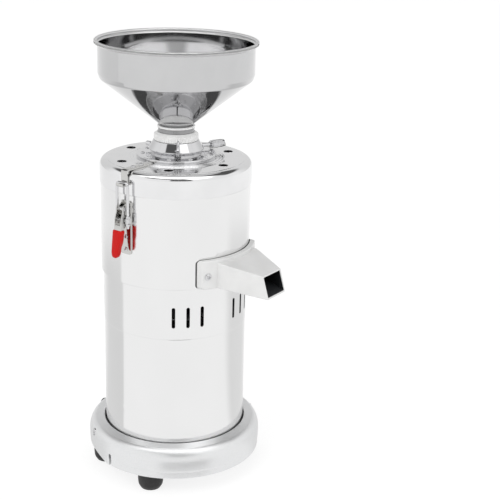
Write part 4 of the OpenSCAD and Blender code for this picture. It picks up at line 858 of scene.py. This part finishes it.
def base_casting():
    """Cast base: plain lip, swelling skirt and a superelliptic shoulder (1 - s^p)^(1/p) up to the rounded
    opening, with a cord notch, screw seats and two shallow arches cut in the rim."""
    rim_highlight_and_rub, swell, lip, high, skirt_z, power = BASE_RIM, BASE_SWELL, 9.5, 46.0, 24.0, 2.5
    opening, plate_z = shell_r + 1.8, 8.0
    z = np.concatenate([np.linspace(lip + 1.2, skirt_z, 7),
                        skirt_z + (high - skirt_z) * (1 - np.cos(np.linspace(0.1, 1.47, 18)))])
    s = np.clip((z - skirt_z) / (high - skirt_z), 0.0, 0.9995)
    side = np.where(z <= skirt_z, rim_highlight_and_rub + swell * (1.0 - ((skirt_z - z) / skirt_z) ** 2),
                    opening + 1.6 + (rim_highlight_and_rub + swell - opening - 1.6) * (1.0 - s ** power) ** (1.0 / power))
    skirt = np.stack([side, z], -1)
    foot = rounded([(rim_highlight_and_rub - 3.7, 0.0, 0.6), (rim_highlight_and_rub + 0.5, 0.0, 1.0), (rim_highlight_and_rub + 0.5, lip, 0.5),
                    (side[0], lip + 0.9, 0.5)], 0.5, 4)
    inner = [[opening + 1.0, high - 0.1], [opening + 0.3, high - 0.6], [opening, high - 1.4],
             [opening, deck_z], [62.0, deck_z], [62.0, deck_z - 6.0], [opening - 3.2, deck_z - 6.0],
             [rim_highlight_and_rub - 6.7, plate_z + 4.0], [rim_highlight_and_rub - 6.7, plate_z], [rim_highlight_and_rub - 3.7, plate_z]]
    outline = np.concatenate([foot[:-1], skirt, inner])
    notch_outline = np.concatenate([[[2.5, -2.0]], stadium(5.0, 19.0)[:12] + [0.0, 9.5], [[-2.5, -2.0]]])
    notch = moved(slab(notch_outline, rim_highlight_and_rub - 8.0, rim_highlight_and_rub + 8.0), -100.5)
    seats = [rod_at(a, 115.0, 135.0, SIDE_SCREW_Z, 5.4, 40) for a in SIDE_SCREWS]
    arch_w, arch_h, arch_azimuth = 96.0, 7.8, 126.0
    radius = (arch_w ** 2 / 4.0 + arch_h ** 2) / (2.0 * arch_h)
    t = np.radians(np.linspace(-18.9, 18.9, 39))
    arch = np.stack([radius * np.sin(t), arch_h - radius + radius * np.cos(t)], -1)
    arch = np.concatenate([arch, [[arch[-1, 0], -6.0], [arch[0, 0], -6.0]]])
    points, faces = plate(arch, -150.0, -60.0, 0.0, "xz")
    arches = [moved((points, faces), s * arch_azimuth) for s in (-1.0, 1.0)]
    gland = rod_at(REAR, opening, 140.0, GLAND_Z, GLAND_THREAD + 0.1)
    body = piece("hammered_base", revolved(outline, 288), "frame", HAMMERED,
                 ["base_casting"], 40.0, cut=joined([notch, gland] + seats + arches))
    pad = revolved(rounded([(8.1, 0.0, 0), (11.9, 0.0, 0), (11.9, 14.6, 1.0), (8.1, 15.6, 0.3)], 0.5, 4),
                   72)
    piece("gland_boss", outwards(pad, REAR, 112.2, GLAND_Z), "frame", HAMMERED)
    return body


def feet():
    """Rubber feet: straight side, long round down to the sole, a recessed hole for the screw."""
    outline = rounded([(3.2, 6.0, 0), (3.2, sole_z + 14.0, 0), (6.5, sole_z + 14.0, 0), (6.5, sole_z, 0.6),
                       (14.0, sole_z, 2.0), (17.6, sole_z + 6.0, 8.0), (18.4, sole_z + 14.0, 4.0),
                       (18.4, 2.4, 0.5), (17.9, 1.6, 0.3), (17.9, 0.8, 0.3), (18.4, 0.2, 0.3),
                       (18.4, 6.0, 0.6)], 0.3, 6)
    one = revolved(outline, 96)
    return piece("rubber_feet_turned", joined([moved(one, a, (0.0, -FOOT_CIRCLE, 0.0)) for a in FEET]),
                 "frame", FOOT_RUBBER, ["rubber_feet"], 40.0)


def cord_gland():
    """Cable gland: hexagon with rounded corners, ribbed dome nut, and the bore through both."""
    a = np.radians(np.arange(6) * 60.0)
    hexagon = rounded([(12.0 * math.cos(v), 12.0 * math.sin(v)) for v in a], 1.2, 4)
    nut = plate(hexagon, 0.0, 5.0, 0.8, "xy")
    dome = revolved(rounded([(4.2, 5.0, 0), (8.5, 5.0, 0.3), (8.5, 9.5, 1.0), (7.2, 13.0, 1.5),
                             (4.2, 13.0, 0.5)], 0.5, 5), 72)
    face = 127.8
    bore = rod_at(REAR, 100.0, 150.0, GLAND_Z, GLAND_BORE, 40)
    thread = rod_at(REAR, 105.7, face + 0.5, GLAND_Z, GLAND_THREAD, 64)
    piece("cable_gland", outwards(dome, REAR, face, GLAND_Z), "frame", BLACK)
    piece("gland_hexagon", outwards(nut, REAR, face, GLAND_Z), "frame", BLACK,
          ["cord_gland"], cut=bore)
    piece("gland_thread", thread, "frame", BLACK, cut=bore)


# ---------------------------------------------------------------- spout

def duct(inset, first, last, rows=14):
    """Rounded rectangles from the flange to the mouth: half width, top and bottom all change straight.

    The station s = 0 is at the flange and s = 1 at the mouth, which is cut on the slant, shorter at the top.
    """
    root_half, mouth_half, root_top, mouth_top, root_low, mouth_low = 44.4, 22.5, 316.0, 303.5, 279.8, 271.0
    y_root, y_top, y_low = 111.2, 165.4, 174.0
    s = np.linspace(first, last, rows)
    rows_at = []
    for v in s:
        out = max(v, 0.0)
        half = root_half + (mouth_half - root_half) * out - inset
        top = root_top + (mouth_top - root_top) * out - inset
        low = root_low + (mouth_low - root_low) * out + inset
        corner = max(0.9, 1.7 - 0.3 * inset)
        ring = rounded(box(half, low, top), corner, 6)
        share = (ring[:, 1] - low) / (top - low)
        y = -(y_root + (y_low - y_root) * v - (y_low - y_top) * share * out)
        rows_at.append(np.stack([ring[:, 0], y, ring[:, 1]], -1))
    return np.stack(rows_at)


def spout():
    """Outer and inner duct joined by a rounded lip at the mouth, open at the root inside the flange."""
    wall = 2.5
    outer = duct(0.0, -0.2, 0.99)
    lip = np.stack([duct(wall * 0.5 * (1.0 - math.cos(t)), 0.99 + 0.012 * math.sin(t), 1.0, 2)[0]
                    for t in np.linspace(0.3, math.pi - 0.3, 6)])
    inner = duct(wall, -0.2, 0.99)[::-1]
    tube = sheet_of(np.concatenate([outer, lip, inner]), wrap_rows=True, wrap_cols=True)
    piece("spout_duct", tube, "frame", SPOUT, [], 50.0)
    # A thin sheet just inside the duct's inner wall, painted near-black: painted shade inside the spout.
    shade_sheet = np.concatenate([duct(wall + 0.02, -0.2, 0.985), duct(wall + 0.3, -0.2, 0.985)[::-1]])
    piece("spout_shade_sheet", sheet_of(shade_sheet, wrap_rows=True, wrap_cols=True), "frame",
          SPOUT_SHADE, [], 50.0)
    flange_r0, flange_r1, half_w, low, high = 107.2, FLANGE_R, 64.7, 279.6, 321.0
    saddle = curved_pad(flange_r0, flange_r1, half_w, low, high, 5.0, 1.8)
    hole = plate(box(41.5, -130.0, -60.0), 282.5, 313.0, 0.0, "xy")
    screws = joined([rod_at(s * SPOUT_SCREW_AZIMUTH, flange_r1 - 0.3, flange_r1 + 4.0, SPOUT_SCREW_Z, 5.45)
                     for s in (-1.0, 1.0)])
    return piece("spout_flange", saddle, "frame", SPOUT, ["spout"], 40.0,
                 cut=joined([hole, screws]))


def curved_pad(r0, r1, half_w, low, high, corner, edge):
    """A rounded rectangle wrapped on a cylinder: (r sin(x / r), -r cos(x / r), z),
    with its outer edge rounded."""
    outline = rounded(box(half_w, low, high), corner, 8)
    cut = []
    for a, b in zip(outline, np.roll(outline, -1, 0)):
        steps = max(1, int(abs(b[0] - a[0]) / 2.5))
        cut.append(a + (b - a) * np.linspace(0.0, 1.0, steps, endpoint=False)[:, None])
    outline = np.concatenate(cut)
    middle = np.array([0.0, (low + high) / 2.0])
    shape = np.abs(outline - middle)
    rows = []
    for inset, r in [(0.0, r0), (0.0, r1 - edge - 0.3), (0.0, r1 - edge), (edge * 0.08, r1 - edge * 0.62),
                     (edge * 0.29, r1 - edge * 0.29), (edge * 0.62, r1 - edge * 0.08), (edge, r1),
                     (edge + 0.5, r1)]:
        p = middle + np.sign(outline - middle) * np.maximum(shape - inset, 0.0)
        y = -np.sqrt(np.maximum(r * r - p[:, 0] ** 2, 0.0))
        rows.append(np.stack([p[:, 0], y, p[:, 1]], -1))
    return grid_pad(rows)


def grid_pad(rows):
    """Side walls from the rows, with front and back faces as strips between the outline's left and
    right halves."""
    points = np.stack(rows)
    count, cols = points.shape[:2]
    faces = grid_faces(count, cols, False, True).tolist()
    order = np.argsort(points[0, :, 0], kind="stable")
    flat, fill = points.reshape(-1, 3), []
    for row in (0, count - 1):
        ring = points[row]
        middle = (ring[:, 2].max() + ring[:, 2].min()) / 2.0
        upper = [k for k in order if ring[k, 2] > middle]
        lower = [k for k in order if ring[k, 2] <= middle]
        i = j = 0
        while i < len(upper) - 1 or j < len(lower) - 1:
            ahead_u = ring[upper[i + 1], 0] if i < len(upper) - 1 else 1e9
            ahead_l = ring[lower[j + 1], 0] if j < len(lower) - 1 else 1e9
            if ahead_u <= ahead_l:
                fill.append([row * cols + upper[i], row * cols + upper[i + 1], row * cols + lower[j]])
                i += 1
            else:
                fill.append([row * cols + upper[i], row * cols + lower[j + 1], row * cols + lower[j]])
                j += 1
    return flat, faces + fill


# ---------------------------------------------------------------- latches

def strap(azimuth, name):
    """Bent strip: flat on the cover, a round bend over its edge,
    and a round hook at the foot that holds the bar."""
    thick, leg, hook_z = 2.5, cover_r + 0.5, cover_top - HOOK_DROP
    hook_r = 118.0
    mid = thick / 2.0
    corner = 3.2
    path = rounded([(ring_r + 1.3, cover_top + mid, 0), (leg + mid, cover_top + mid, corner),
                    (leg + mid, hook_z - mid, corner), (hook_r + mid, hook_z - mid, 3.2),
                    (hook_r + mid, hook_z + 2.5, 0), (hook_r + mid + 0.01, hook_z + 2.52, 0)], 0.0, 8)[:-1]
    along = np.gradient(path, axis=0)
    along /= np.linalg.norm(along, axis=1)[:, None]
    normal = np.stack([along[:, 1], -along[:, 0]], -1)
    soft = rounded(box(1.0, -mid, mid), 0.45, 3)
    rows = []
    for (d, z), n in zip(path, normal):
        x = np.sign(soft[:, 0]) * (STRAP_HALF_WIDTH - (1.0 - np.abs(soft[:, 0])))
        rows.append(np.stack([x, -(d + n[0] * soft[:, 1]), z + n[1] * soft[:, 1]], -1))
    piece(name, moved(sheet_of(np.stack(rows), wrap_cols=True, caps=True), azimuth), "frame",
          LATCH_STEEL)


def latch(side):
    """One toggle latch: bracket, handle plates, red grip, U-bolt with its trunnion and nuts."""
    azimuth = LATCHES[side]
    pivot_z, bolt_y, crank, over = 390.0, 114.0, 16.0, math.radians(4.0)
    pivot_y, trunnion_z = bolt_y + crank * math.sin(over), pivot_z - crank * math.cos(over)
    bar_z = cover_top - HOOK_DROP + 2.3
    plate_x, plate_t = 4.7, 1.4
    grip_top, grip_low = 361.5, 323.0
    # U-bolt: two straight legs and one round bend between them
    wire, leg_x, bend = 2.0, 9.5, 4.0
    t = np.radians(np.linspace(0.0, 90.0, 9))
    corner = np.stack([leg_x - bend + bend * np.cos(t), 0.0 * t, bar_z - bend + bend * np.sin(t)], -1)
    path = np.concatenate([[[leg_x, 0.0, trunnion_z - 11.0], [leg_x, 0.0, trunnion_z - 10.4]], corner,
                           (corner * [-1.0, 1.0, 1.0])[::-1], [[-leg_x, 0.0, trunnion_z - 10.4],
                                                               [-leg_x, 0.0, trunnion_z - 11.0]]])
    radius = np.full(len(path), wire)
    radius[[0, -1]] = 1.3
    parts = [swept(path, radius, 24)]
    a = np.radians(np.arange(6) * 60.0 + 30.0)
    nut = rounded([(3.4 * math.cos(v), 3.4 * math.sin(v)) for v in a], 0.35, 3)
    for x in (-leg_x, leg_x):
        for z in (trunnion_z - 7.0, trunnion_z + 4.0):
            parts.append(moved(plate(nut, z, z + 3.0, 0.45, "xy"), 0.0, (x, 0.0, 0.0)))
        lug = rounded([(x - 2.2, -4.0), (x + 2.2, -4.0), (x + 2.2, 4.0), (x - 2.2, 4.0)], 1.0, 4)
        parts.append(plate(lug, trunnion_z - 4.0, trunnion_z + 4.0, 0.6, "xy"))
    across = np.array([-12.0, -11.6, 11.6, 12.0])
    parts.append(swept(np.stack([across, 0.0 * across, 0.0 * across + trunnion_z], -1),
                       np.array([2.2, 2.8, 2.8, 2.2]), 32))
    for step in np.arange(0.0, 9.0, 0.8):
        for x in (-leg_x, leg_x):
            parts.append(thread_ring(x, trunnion_z + 7.6 + step, wire))
    piece(side + "_u_bolt_wire", moved(joined(parts), azimuth, (0.0, -bolt_y, 0.0)), side + "_bolt",
          SCREW_STEEL, [side + "_u_bolt"])
    # handle plates and the tongue inside the grip
    arm_end = (127.6, grip_top - 17.0)
    head = rounded([(-(pivot_y - 4.6), pivot_z - 1.0, 2.0), (-(pivot_y - 3.6), pivot_z + 4.6, 3.5),
                    (-(pivot_y + 4.6), pivot_z + 4.4, 3.5), (-(pivot_y + 5.4), pivot_z - 4.0, 2.0),
                    (-(pivot_y + 8.5), pivot_z - 14.0, 4.0), (-124.5, grip_top, 2.0),
                    (-arm_end[0], arm_end[1], 0.5), (-arm_end[0] + 5.0, arm_end[1], 0.5),
                    (-118.8, grip_top, 2.0), (-(bolt_y - 3.2), trunnion_z - 6.5, 3.0),
                    (-(bolt_y - 5.0), trunnion_z + 1.0, 3.0)], 1.0, 6)
    tongue = rounded([(-122.2, grip_top + 7.0), (-123.7, grip_top + 7.0), (-124.5, grip_top),
                      (-arm_end[0], arm_end[1]), (-arm_end[0] + 1.5, arm_end[1]), (-123.0, grip_top)], 0.3,
                     3)
    plates = [plate(head, s * (plate_x + plate_t / 2) - plate_t / 2,
                    s * (plate_x + plate_t / 2) + plate_t / 2, 0.3) for s in (-1, 1)]
    plates.append(plate(tongue, -plate_x - 0.2, plate_x + 0.2, 0.1))
    piece(side + "_latch_plates", moved(joined(plates), azimuth), side + "_handle",
          LATCH_STEEL, [side + "_latch_handle"])
    piece(side + "_red_grip", moved(grip(grip_top, grip_low), azimuth), side + "_handle",
          RED, [side + "_latch_grip"], 60.0)
    # pin with riveted ends
    ends = np.array([-6.9, -6.6, -6.2, 6.2, 6.6, 6.9])
    pin = swept(np.stack([ends, 0.0 * ends - pivot_y, 0.0 * ends + pivot_z], -1),
                np.array([1.6, 2.5, 2.5, 2.5, 2.5, 1.6]), 32)
    bracket(azimuth, side, pivot_y, pivot_z, pin)


def thread_ring(x, z, wire):
    """One turn of thread on a leg: a thin ring with a V section."""
    t = round_angles(20)[:, None]
    r = np.array([wire - 0.15, wire + 0.12, wire - 0.15])[None]
    h = np.array([-0.3, 0.0, 0.3])[None]
    return sheet_of(np.stack([x + r * np.cos(t), r * np.sin(t), z + h + 0.0 * t], -1), wrap_rows=True,
                    wrap_cols=True)


def grip(top, low):
    """Moulded grip: superellipse sections |x/a|^p + |y/b|^p = 1 down a leaning centre line,
    notched on one side."""
    height = top - low
    s = np.array([0.0, 0.012, 0.04, 0.12, 0.25, 0.36, 0.46, 0.54, 0.62, 0.70, 0.78, 0.86, 0.92, 0.96,
                  0.985, 1.0])
    right_edge = np.interp(s, [0, 0.04, 0.3, 0.46, 0.58, 0.66, 0.8, 0.9, 0.96, 1.0],
                           [7.4, 8.4, 7.9, 7.2, 5.5, 4.9, 4.9, 4.1, 2.6, 0.2])
    left_edge = np.interp(s, [0, 0.04, 0.5, 0.8, 0.9, 0.96, 1.0], [-7.4, -8.4, -8.2, -7.7, -6.7, -5.1,
                                                                   -2.4])
    front = np.interp(s, [0, 0.04, 0.5, 0.9, 0.97, 1.0], [126.0, 127.2, 129.3, 131.2, 130.8, 128.6])
    back = np.interp(s, [0, 0.04, 0.5, 0.9, 0.97, 1.0], [117.6, 116.9, 118.8, 121.3, 122.6, 126.0])
    t = round_angles(56)[None]
    power = 2.0 / 3.2
    cx = np.sign(np.cos(t)) * np.abs(np.cos(t)) ** power
    cy = np.sign(np.sin(t)) * np.abs(np.sin(t)) ** power
    half_x, mid_x = ((right_edge - left_edge) / 2)[:, None], ((right_edge + left_edge) / 2)[:, None]
    half_y, mid_y = ((front - back) / 2)[:, None], ((front + back) / 2)[:, None]
    z = (top - height * s)[:, None]
    return sheet_of(np.stack([mid_x + half_x * cx, -(mid_y + half_y * cy), z + 0.0 * cx], -1),
                    wrap_cols=True, caps=True)


def bracket(azimuth, side, pivot_y, pivot_z, pin):
    """Back plate curved to the casing, with two ears that carry the pin."""
    back = curved_pad(casing_r + 0.05, casing_r + 2.0, 9.0, 324.0, 400.0, 3.0, 0.4)
    ears = []
    for s in (-1.0, 1.0):
        ear = rounded([(-(casing_r + 0.6), pivot_z - 10.0, 0.5), (-(casing_r + 0.6), pivot_z + 10.0, 0.5),
                       (-(pivot_y + 1.5), pivot_z + 5.0, 4.0), (-(pivot_y + 5.0), pivot_z, 3.0),
                       (-(pivot_y + 1.5), pivot_z - 5.0, 4.0)], 1.0, 6)
        low, high = sorted((s * 2.9, s * 4.4))
        ears.append(plate(ear, low, high, 0.25))
    piece(side + "_latch_bracket", moved(joined([back] + ears), azimuth), "frame",
          LATCH_STEEL)
    piece(side + "_pivot_pin", moved(pin, azimuth), "frame", SCREW_STEEL)


# ---------------------------------------------------------------- screws

def screws():
    """All visible screws, each group as one piece; each group but the strap screws stands for its node."""
    cap = domed_screw(3.0, 1.5)
    ring = [moved(cap, -64.5 + 36.0 * k, (0.0, -47.0, ring_top)) for k in range(10)]
    piece("ring_screw_heads", joined(ring), "frame", SCREW_STEEL, ["ring_screws"])
    cap = domed_screw(3.6, 2.0)
    top = [moved(cap, a, (0.0, -r, cover_top + 2.5)) for a in LATCHES.values() for r in (75.7, 92.4)]
    piece("strap_screw_heads", joined(top), "frame", SCREW_STEEL)
    cap = domed_screw(3.2, 1.8)
    back = [outwards(cap, a, casing_r + 1.95, z) for a in LATCHES.values() for z in (331.0, 349.0)]
    piece("bracket_screw_heads", joined(back), "frame", SCREW_STEEL, ["bracket_screws"])
    cap = domed_screw(4.2, 2.6)
    washer = revolved(rounded([(2.0, -0.3), (5.4, -0.3), (5.4, 0.35), (2.0, 0.35)], 0.2, 3), 48)
    both = joined([moved(cap, 0.0, (0.0, 0.0, 0.3)), washer])
    piece("spout_screw_heads", joined([outwards(both, s * SPOUT_SCREW_AZIMUTH, FLANGE_R, SPOUT_SCREW_Z)
                                       for s in (-1.0, 1.0)]), "frame", SCREW_STEEL,
          ["spout_screws"])
    cap = domed_screw(4.6, 2.6)
    seat = BASE_RIM + BASE_SWELL - 2.6
    piece("side_screw_heads", joined([outwards(cap, a, seat - 0.6, SIDE_SCREW_Z) for a in SIDE_SCREWS]),
          "frame", SCREW_STEEL, ["base_side_screws"])


# ---------------------------------------------------------------- switch

def switch():
    """Rear rocker switch: a framed bezel with rounded corners, and a rocker with two sloping faces."""
    z, y = SWITCH_Z, shell_r
    bezel = plate(rounded(box(13.0, -17.0, 17.0), 3.0, 6), -1.5, 3.0, 0.9, "xy")
    well = plate(rounded(box(7.3, -11.5, 11.5), 0.6, 3), -30.0, 6.0, 0.0, "xy")
    piece("switch_bezel", outwards(bezel, REAR, y, z), "frame", BLACK, [],
          cut=outwards(well, REAR, y, z))
    tilt = math.radians(-8.0)
    outline = rounded([(2.0, -9.4, 0.8), (-4.4, -10.0, 0.8), (-5.6, 0.0, 5.0), (-4.4, 10.0, 0.8),
                       (2.0, 9.4, 0.8)], 0.8, 6)
    outline = np.stack([-outline[:, 0], outline[:, 1]], -1)
    points, faces = plate(outline, -7.0, 7.0, 0.5)
    c, s = math.cos(tilt), math.sin(tilt)
    points = np.asarray(points) @ np.array([[1.0, 0.0, 0.0], [0.0, c, s], [0.0, -s, c]])
    points = points + [0.0, shell_r - 2.0, z]
    piece("rocker_cap", (points, faces), "rocker", ROCKER, ["switch_rocker"])


# ---------------------------------------------------------------- build

for make in (hopper, neck_trim, ribbed_coupling, collar, adjusting_handle, lock_screw, lock_lever, cover,
             hole_rims, stepped_ring, casing, vented_shroud, motor_shell, base_casting, feet, cord_gland,
             spout):
    make()
for latch_side, latch_azimuth in LATCHES.items():
    latch(latch_side)
    strap(latch_azimuth, latch_side + "_strap")
screws()
switch()

for hidden, stand_in in (("latch_straps", "left_strap"), ("latch_brackets", "left_latch_bracket"),
                         ("pivot_pins", "left_pivot_pin")):
    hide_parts(hidden)

CARRIED = {"bottom_plate": ZINC, "foot_screws": SCREW_STEEL, "foot_nuts": SCREW_STEEL,
           "run_capacitor": CAN, "capacitor_clip": ZINC, "switch_frame": BLACK, "lower_end_bell": CAST,
           "upper_end_bell": CAST, "tie_bolts": SCREW_STEEL, "stator_core": CORE,
           "stator_windings": COPPER, "lower_bearing": GROUND, "upper_bearing": GROUND,
           "bowl_posts": SCREW_STEEL, "chamber_bowl": CAST, "shaft_seal": GASKET, "spout_gasket": GASKET,
           "cover_gasket": WHITE_RUBBER, "cover_plate": CAST, "strap_screws": SCREW_STEEL,
           "guide_pins": GROUND, "spindle": GROUND, "rotor_core": CORE, "cooling_fan": ZINC,
           "discharge_scraper": GROUND, "rotor_plate": CAST, "rotor_stone": STONE, "feed_nut": GROUND,
           "collar_retainer": GROUND, "stone_sleeve": CAST, "stator_stone": STONE}
for node_name, finish in CARRIED.items():
    carried = nodes[node_name]
    carried.data.materials.clear()
    carried.data.materials.append(finish)


# ---------------------------------------------------------------- floor and light

def seen_from_camera(f, x, y):
    """Distances to the camera's right and towards it, and the angle between them in degrees."""
    a = math.radians(CAMERA_AZIMUTH)
    aside = x * math.cos(a) + y * math.sin(a)
    toward = x * math.sin(a) - y * math.cos(a)
    turn = f.node("ShaderNodeMath", {"operation": "ARCTAN2"}, aside, toward) * DEGREES
    return aside, toward, turn


def floor():
    """A white floor. Polished metal sees it with a dark patch before the base and two greyer parts."""
    size, z = 14.0, sole_z * MM
    mesh = bpy.data.meshes.new("floor")
    mesh.from_pydata([(-size, -size, z), (size, -size, z), (size, size, z), (-size, size, z)], [],
                     [(0, 1, 2, 3)])
    made = added("floor", mesh)
    f = Finish("white floor")
    x, y, _ = f.axes()
    radius = (x * x + y * y) ** 0.5
    aside, toward, turn = seen_from_camera(f, x, y)
    flag = turn.band(-16.0, -8.0, 26.0, 40.0) * radius.band(0.19, 0.2, 0.230, 0.237)
    beyond = (aside * 0.028 + 0.071 - toward).ramp(0.0, 0.012) * (1.0 - aside.ramp(-0.02, 0.0))
    left_band = beyond * turn.ramp(-168.0, -120.0) * (1.0 - radius.ramp(0.9, 1.3) * 0.7)
    right_band = turn.band(78.0, 96.0, 130.0, 165.0) * (1.0 - radius.ramp(1.0, 1.5))
    seen = 1.0 - flag * 0.93 - left_band * 0.24 - right_band * 0.2
    grey = f.node("ShaderNodeCombineXYZ", None, seen, seen, seen)
    glossy = f.node("ShaderNodeEmission", None, Color=grey, Strength=1.0)
    plain = f.node("ShaderNodeBsdfDiffuse", None, Color=(0.93, 0.93, 0.93, 1.0))
    white = f.node("ShaderNodeEmission", None, Color=(1.0, 1.0, 1.0, 1.0), Strength=1.1)
    seen_by_camera = f.node("ShaderNodeLightPath", output=0)
    seen_in_metal = f.node("ShaderNodeLightPath", output=3)
    whitened = f.node("ShaderNodeMixShader", None, seen_by_camera * 0.72, plain, white)
    both = f.node("ShaderNodeMixShader", None, seen_in_metal, whitened, glossy)
    f.tree.links.new(both.socket, f.output.inputs[0])
    mesh.materials.append(f.material)


def studio():
    """The room as polished metal sees it: white walls, a bright box high in front and a bright window,
    a dark gap and a dark patch by the camera, and a dim wall and a dark ceiling behind."""
    world = bpy.data.worlds.new("studio")
    bpy.context.scene.world = world
    world.use_nodes = True
    f = Finish.__new__(Finish)
    f.tree = world.node_tree
    f.tree.nodes.clear()
    out = f.tree.nodes.new("ShaderNodeOutputWorld")
    apart = f.tree.nodes.new("ShaderNodeSeparateXYZ")
    f.tree.links.new(f.node("ShaderNodeTexCoord", output=0).socket, apart.inputs[0])
    x, y, z = (Value(f, s) for s in apart.outputs)
    turn = seen_from_camera(f, x, y)[2]
    lift = z.math("ARCSINE") * DEGREES
    wide = turn.absolute()
    soft_box = lift.band(48.0, 53.0, 78.0, 84.0) * (1.0 - wide.ramp(75.0, 95.0))
    flag = turn.band(-11.0, -6.0, 22.0, 27.0) * lift.band(9.0, 13.0, 33.0, 37.0)
    patch = turn.band(-57.0, -50.0, 14.0, 20.0) * lift.band(35.0, 38.0, 48.0, 51.0)
    window = turn.band(20.0, 25.0, 60.0, 68.0) * lift.band(33.0, 37.0, 48.0, 51.0)
    behind = wide.ramp(80.0, 100.0) * lift.ramp(31.0, 40.0)
    back_wall = wide.ramp(100.0, 140.0) * (1.0 - lift.ramp(31.0, 40.0))
    lit = (0.95 + soft_box * 0.85 + window * 0.7) * (1.0 - behind * 0.9) * (1.0 - back_wall * 0.22)
    room = lit * (1.0 - flag * 0.88) * (1.0 - patch * 0.88)
    grey = f.node("ShaderNodeCombineXYZ", None, room, room, room)
    patterned = f.node("ShaderNodeBackground", None, Color=grey, Strength=1.0)
    even = f.node("ShaderNodeBackground", None, Color=(1.0, 1.0, 1.0, 1.0), Strength=0.82)
    white = f.node("ShaderNodeBackground", None, Color=(1.0, 1.0, 1.0, 1.0), Strength=1.0)
    is_camera = f.node("ShaderNodeLightPath", output=0)
    is_glossy = f.node("ShaderNodeLightPath", output=3)
    for_eye = f.node("ShaderNodeMixShader", None, is_camera, even, white)
    all_rays = f.node("ShaderNodeMixShader", None, is_glossy, for_eye, patterned)
    f.tree.links.new(all_rays.socket, out.inputs[0])


def lamp(name, azimuth, distance, height, size, watts):
    """A soft square lamp that faces the machine's middle."""
    data = bpy.data.lights.new(name, "AREA")
    data.size = size
    data.energy = watts
    made = added(name, data)
    made.location = turned([[0.0, -distance, height]], azimuth)[0]
    target = np.array([0.0, 0.0, 0.3]) - np.array(made.location)
    made.rotation_mode = "QUATERNION"
    made.rotation_quaternion = Vector(target).to_track_quat("-Z", "Y")
    made.visible_glossy = False


floor()
studio()
lamp("key", CAMERA_AZIMUTH - 40.0, 2.2, 2.2, 1.6, 22.0)
lamp("fill", CAMERA_AZIMUTH + 55.0, 2.4, 1.4, 1.8, 10.0)
bpy.context.scene.view_settings.view_transform = "Standard"
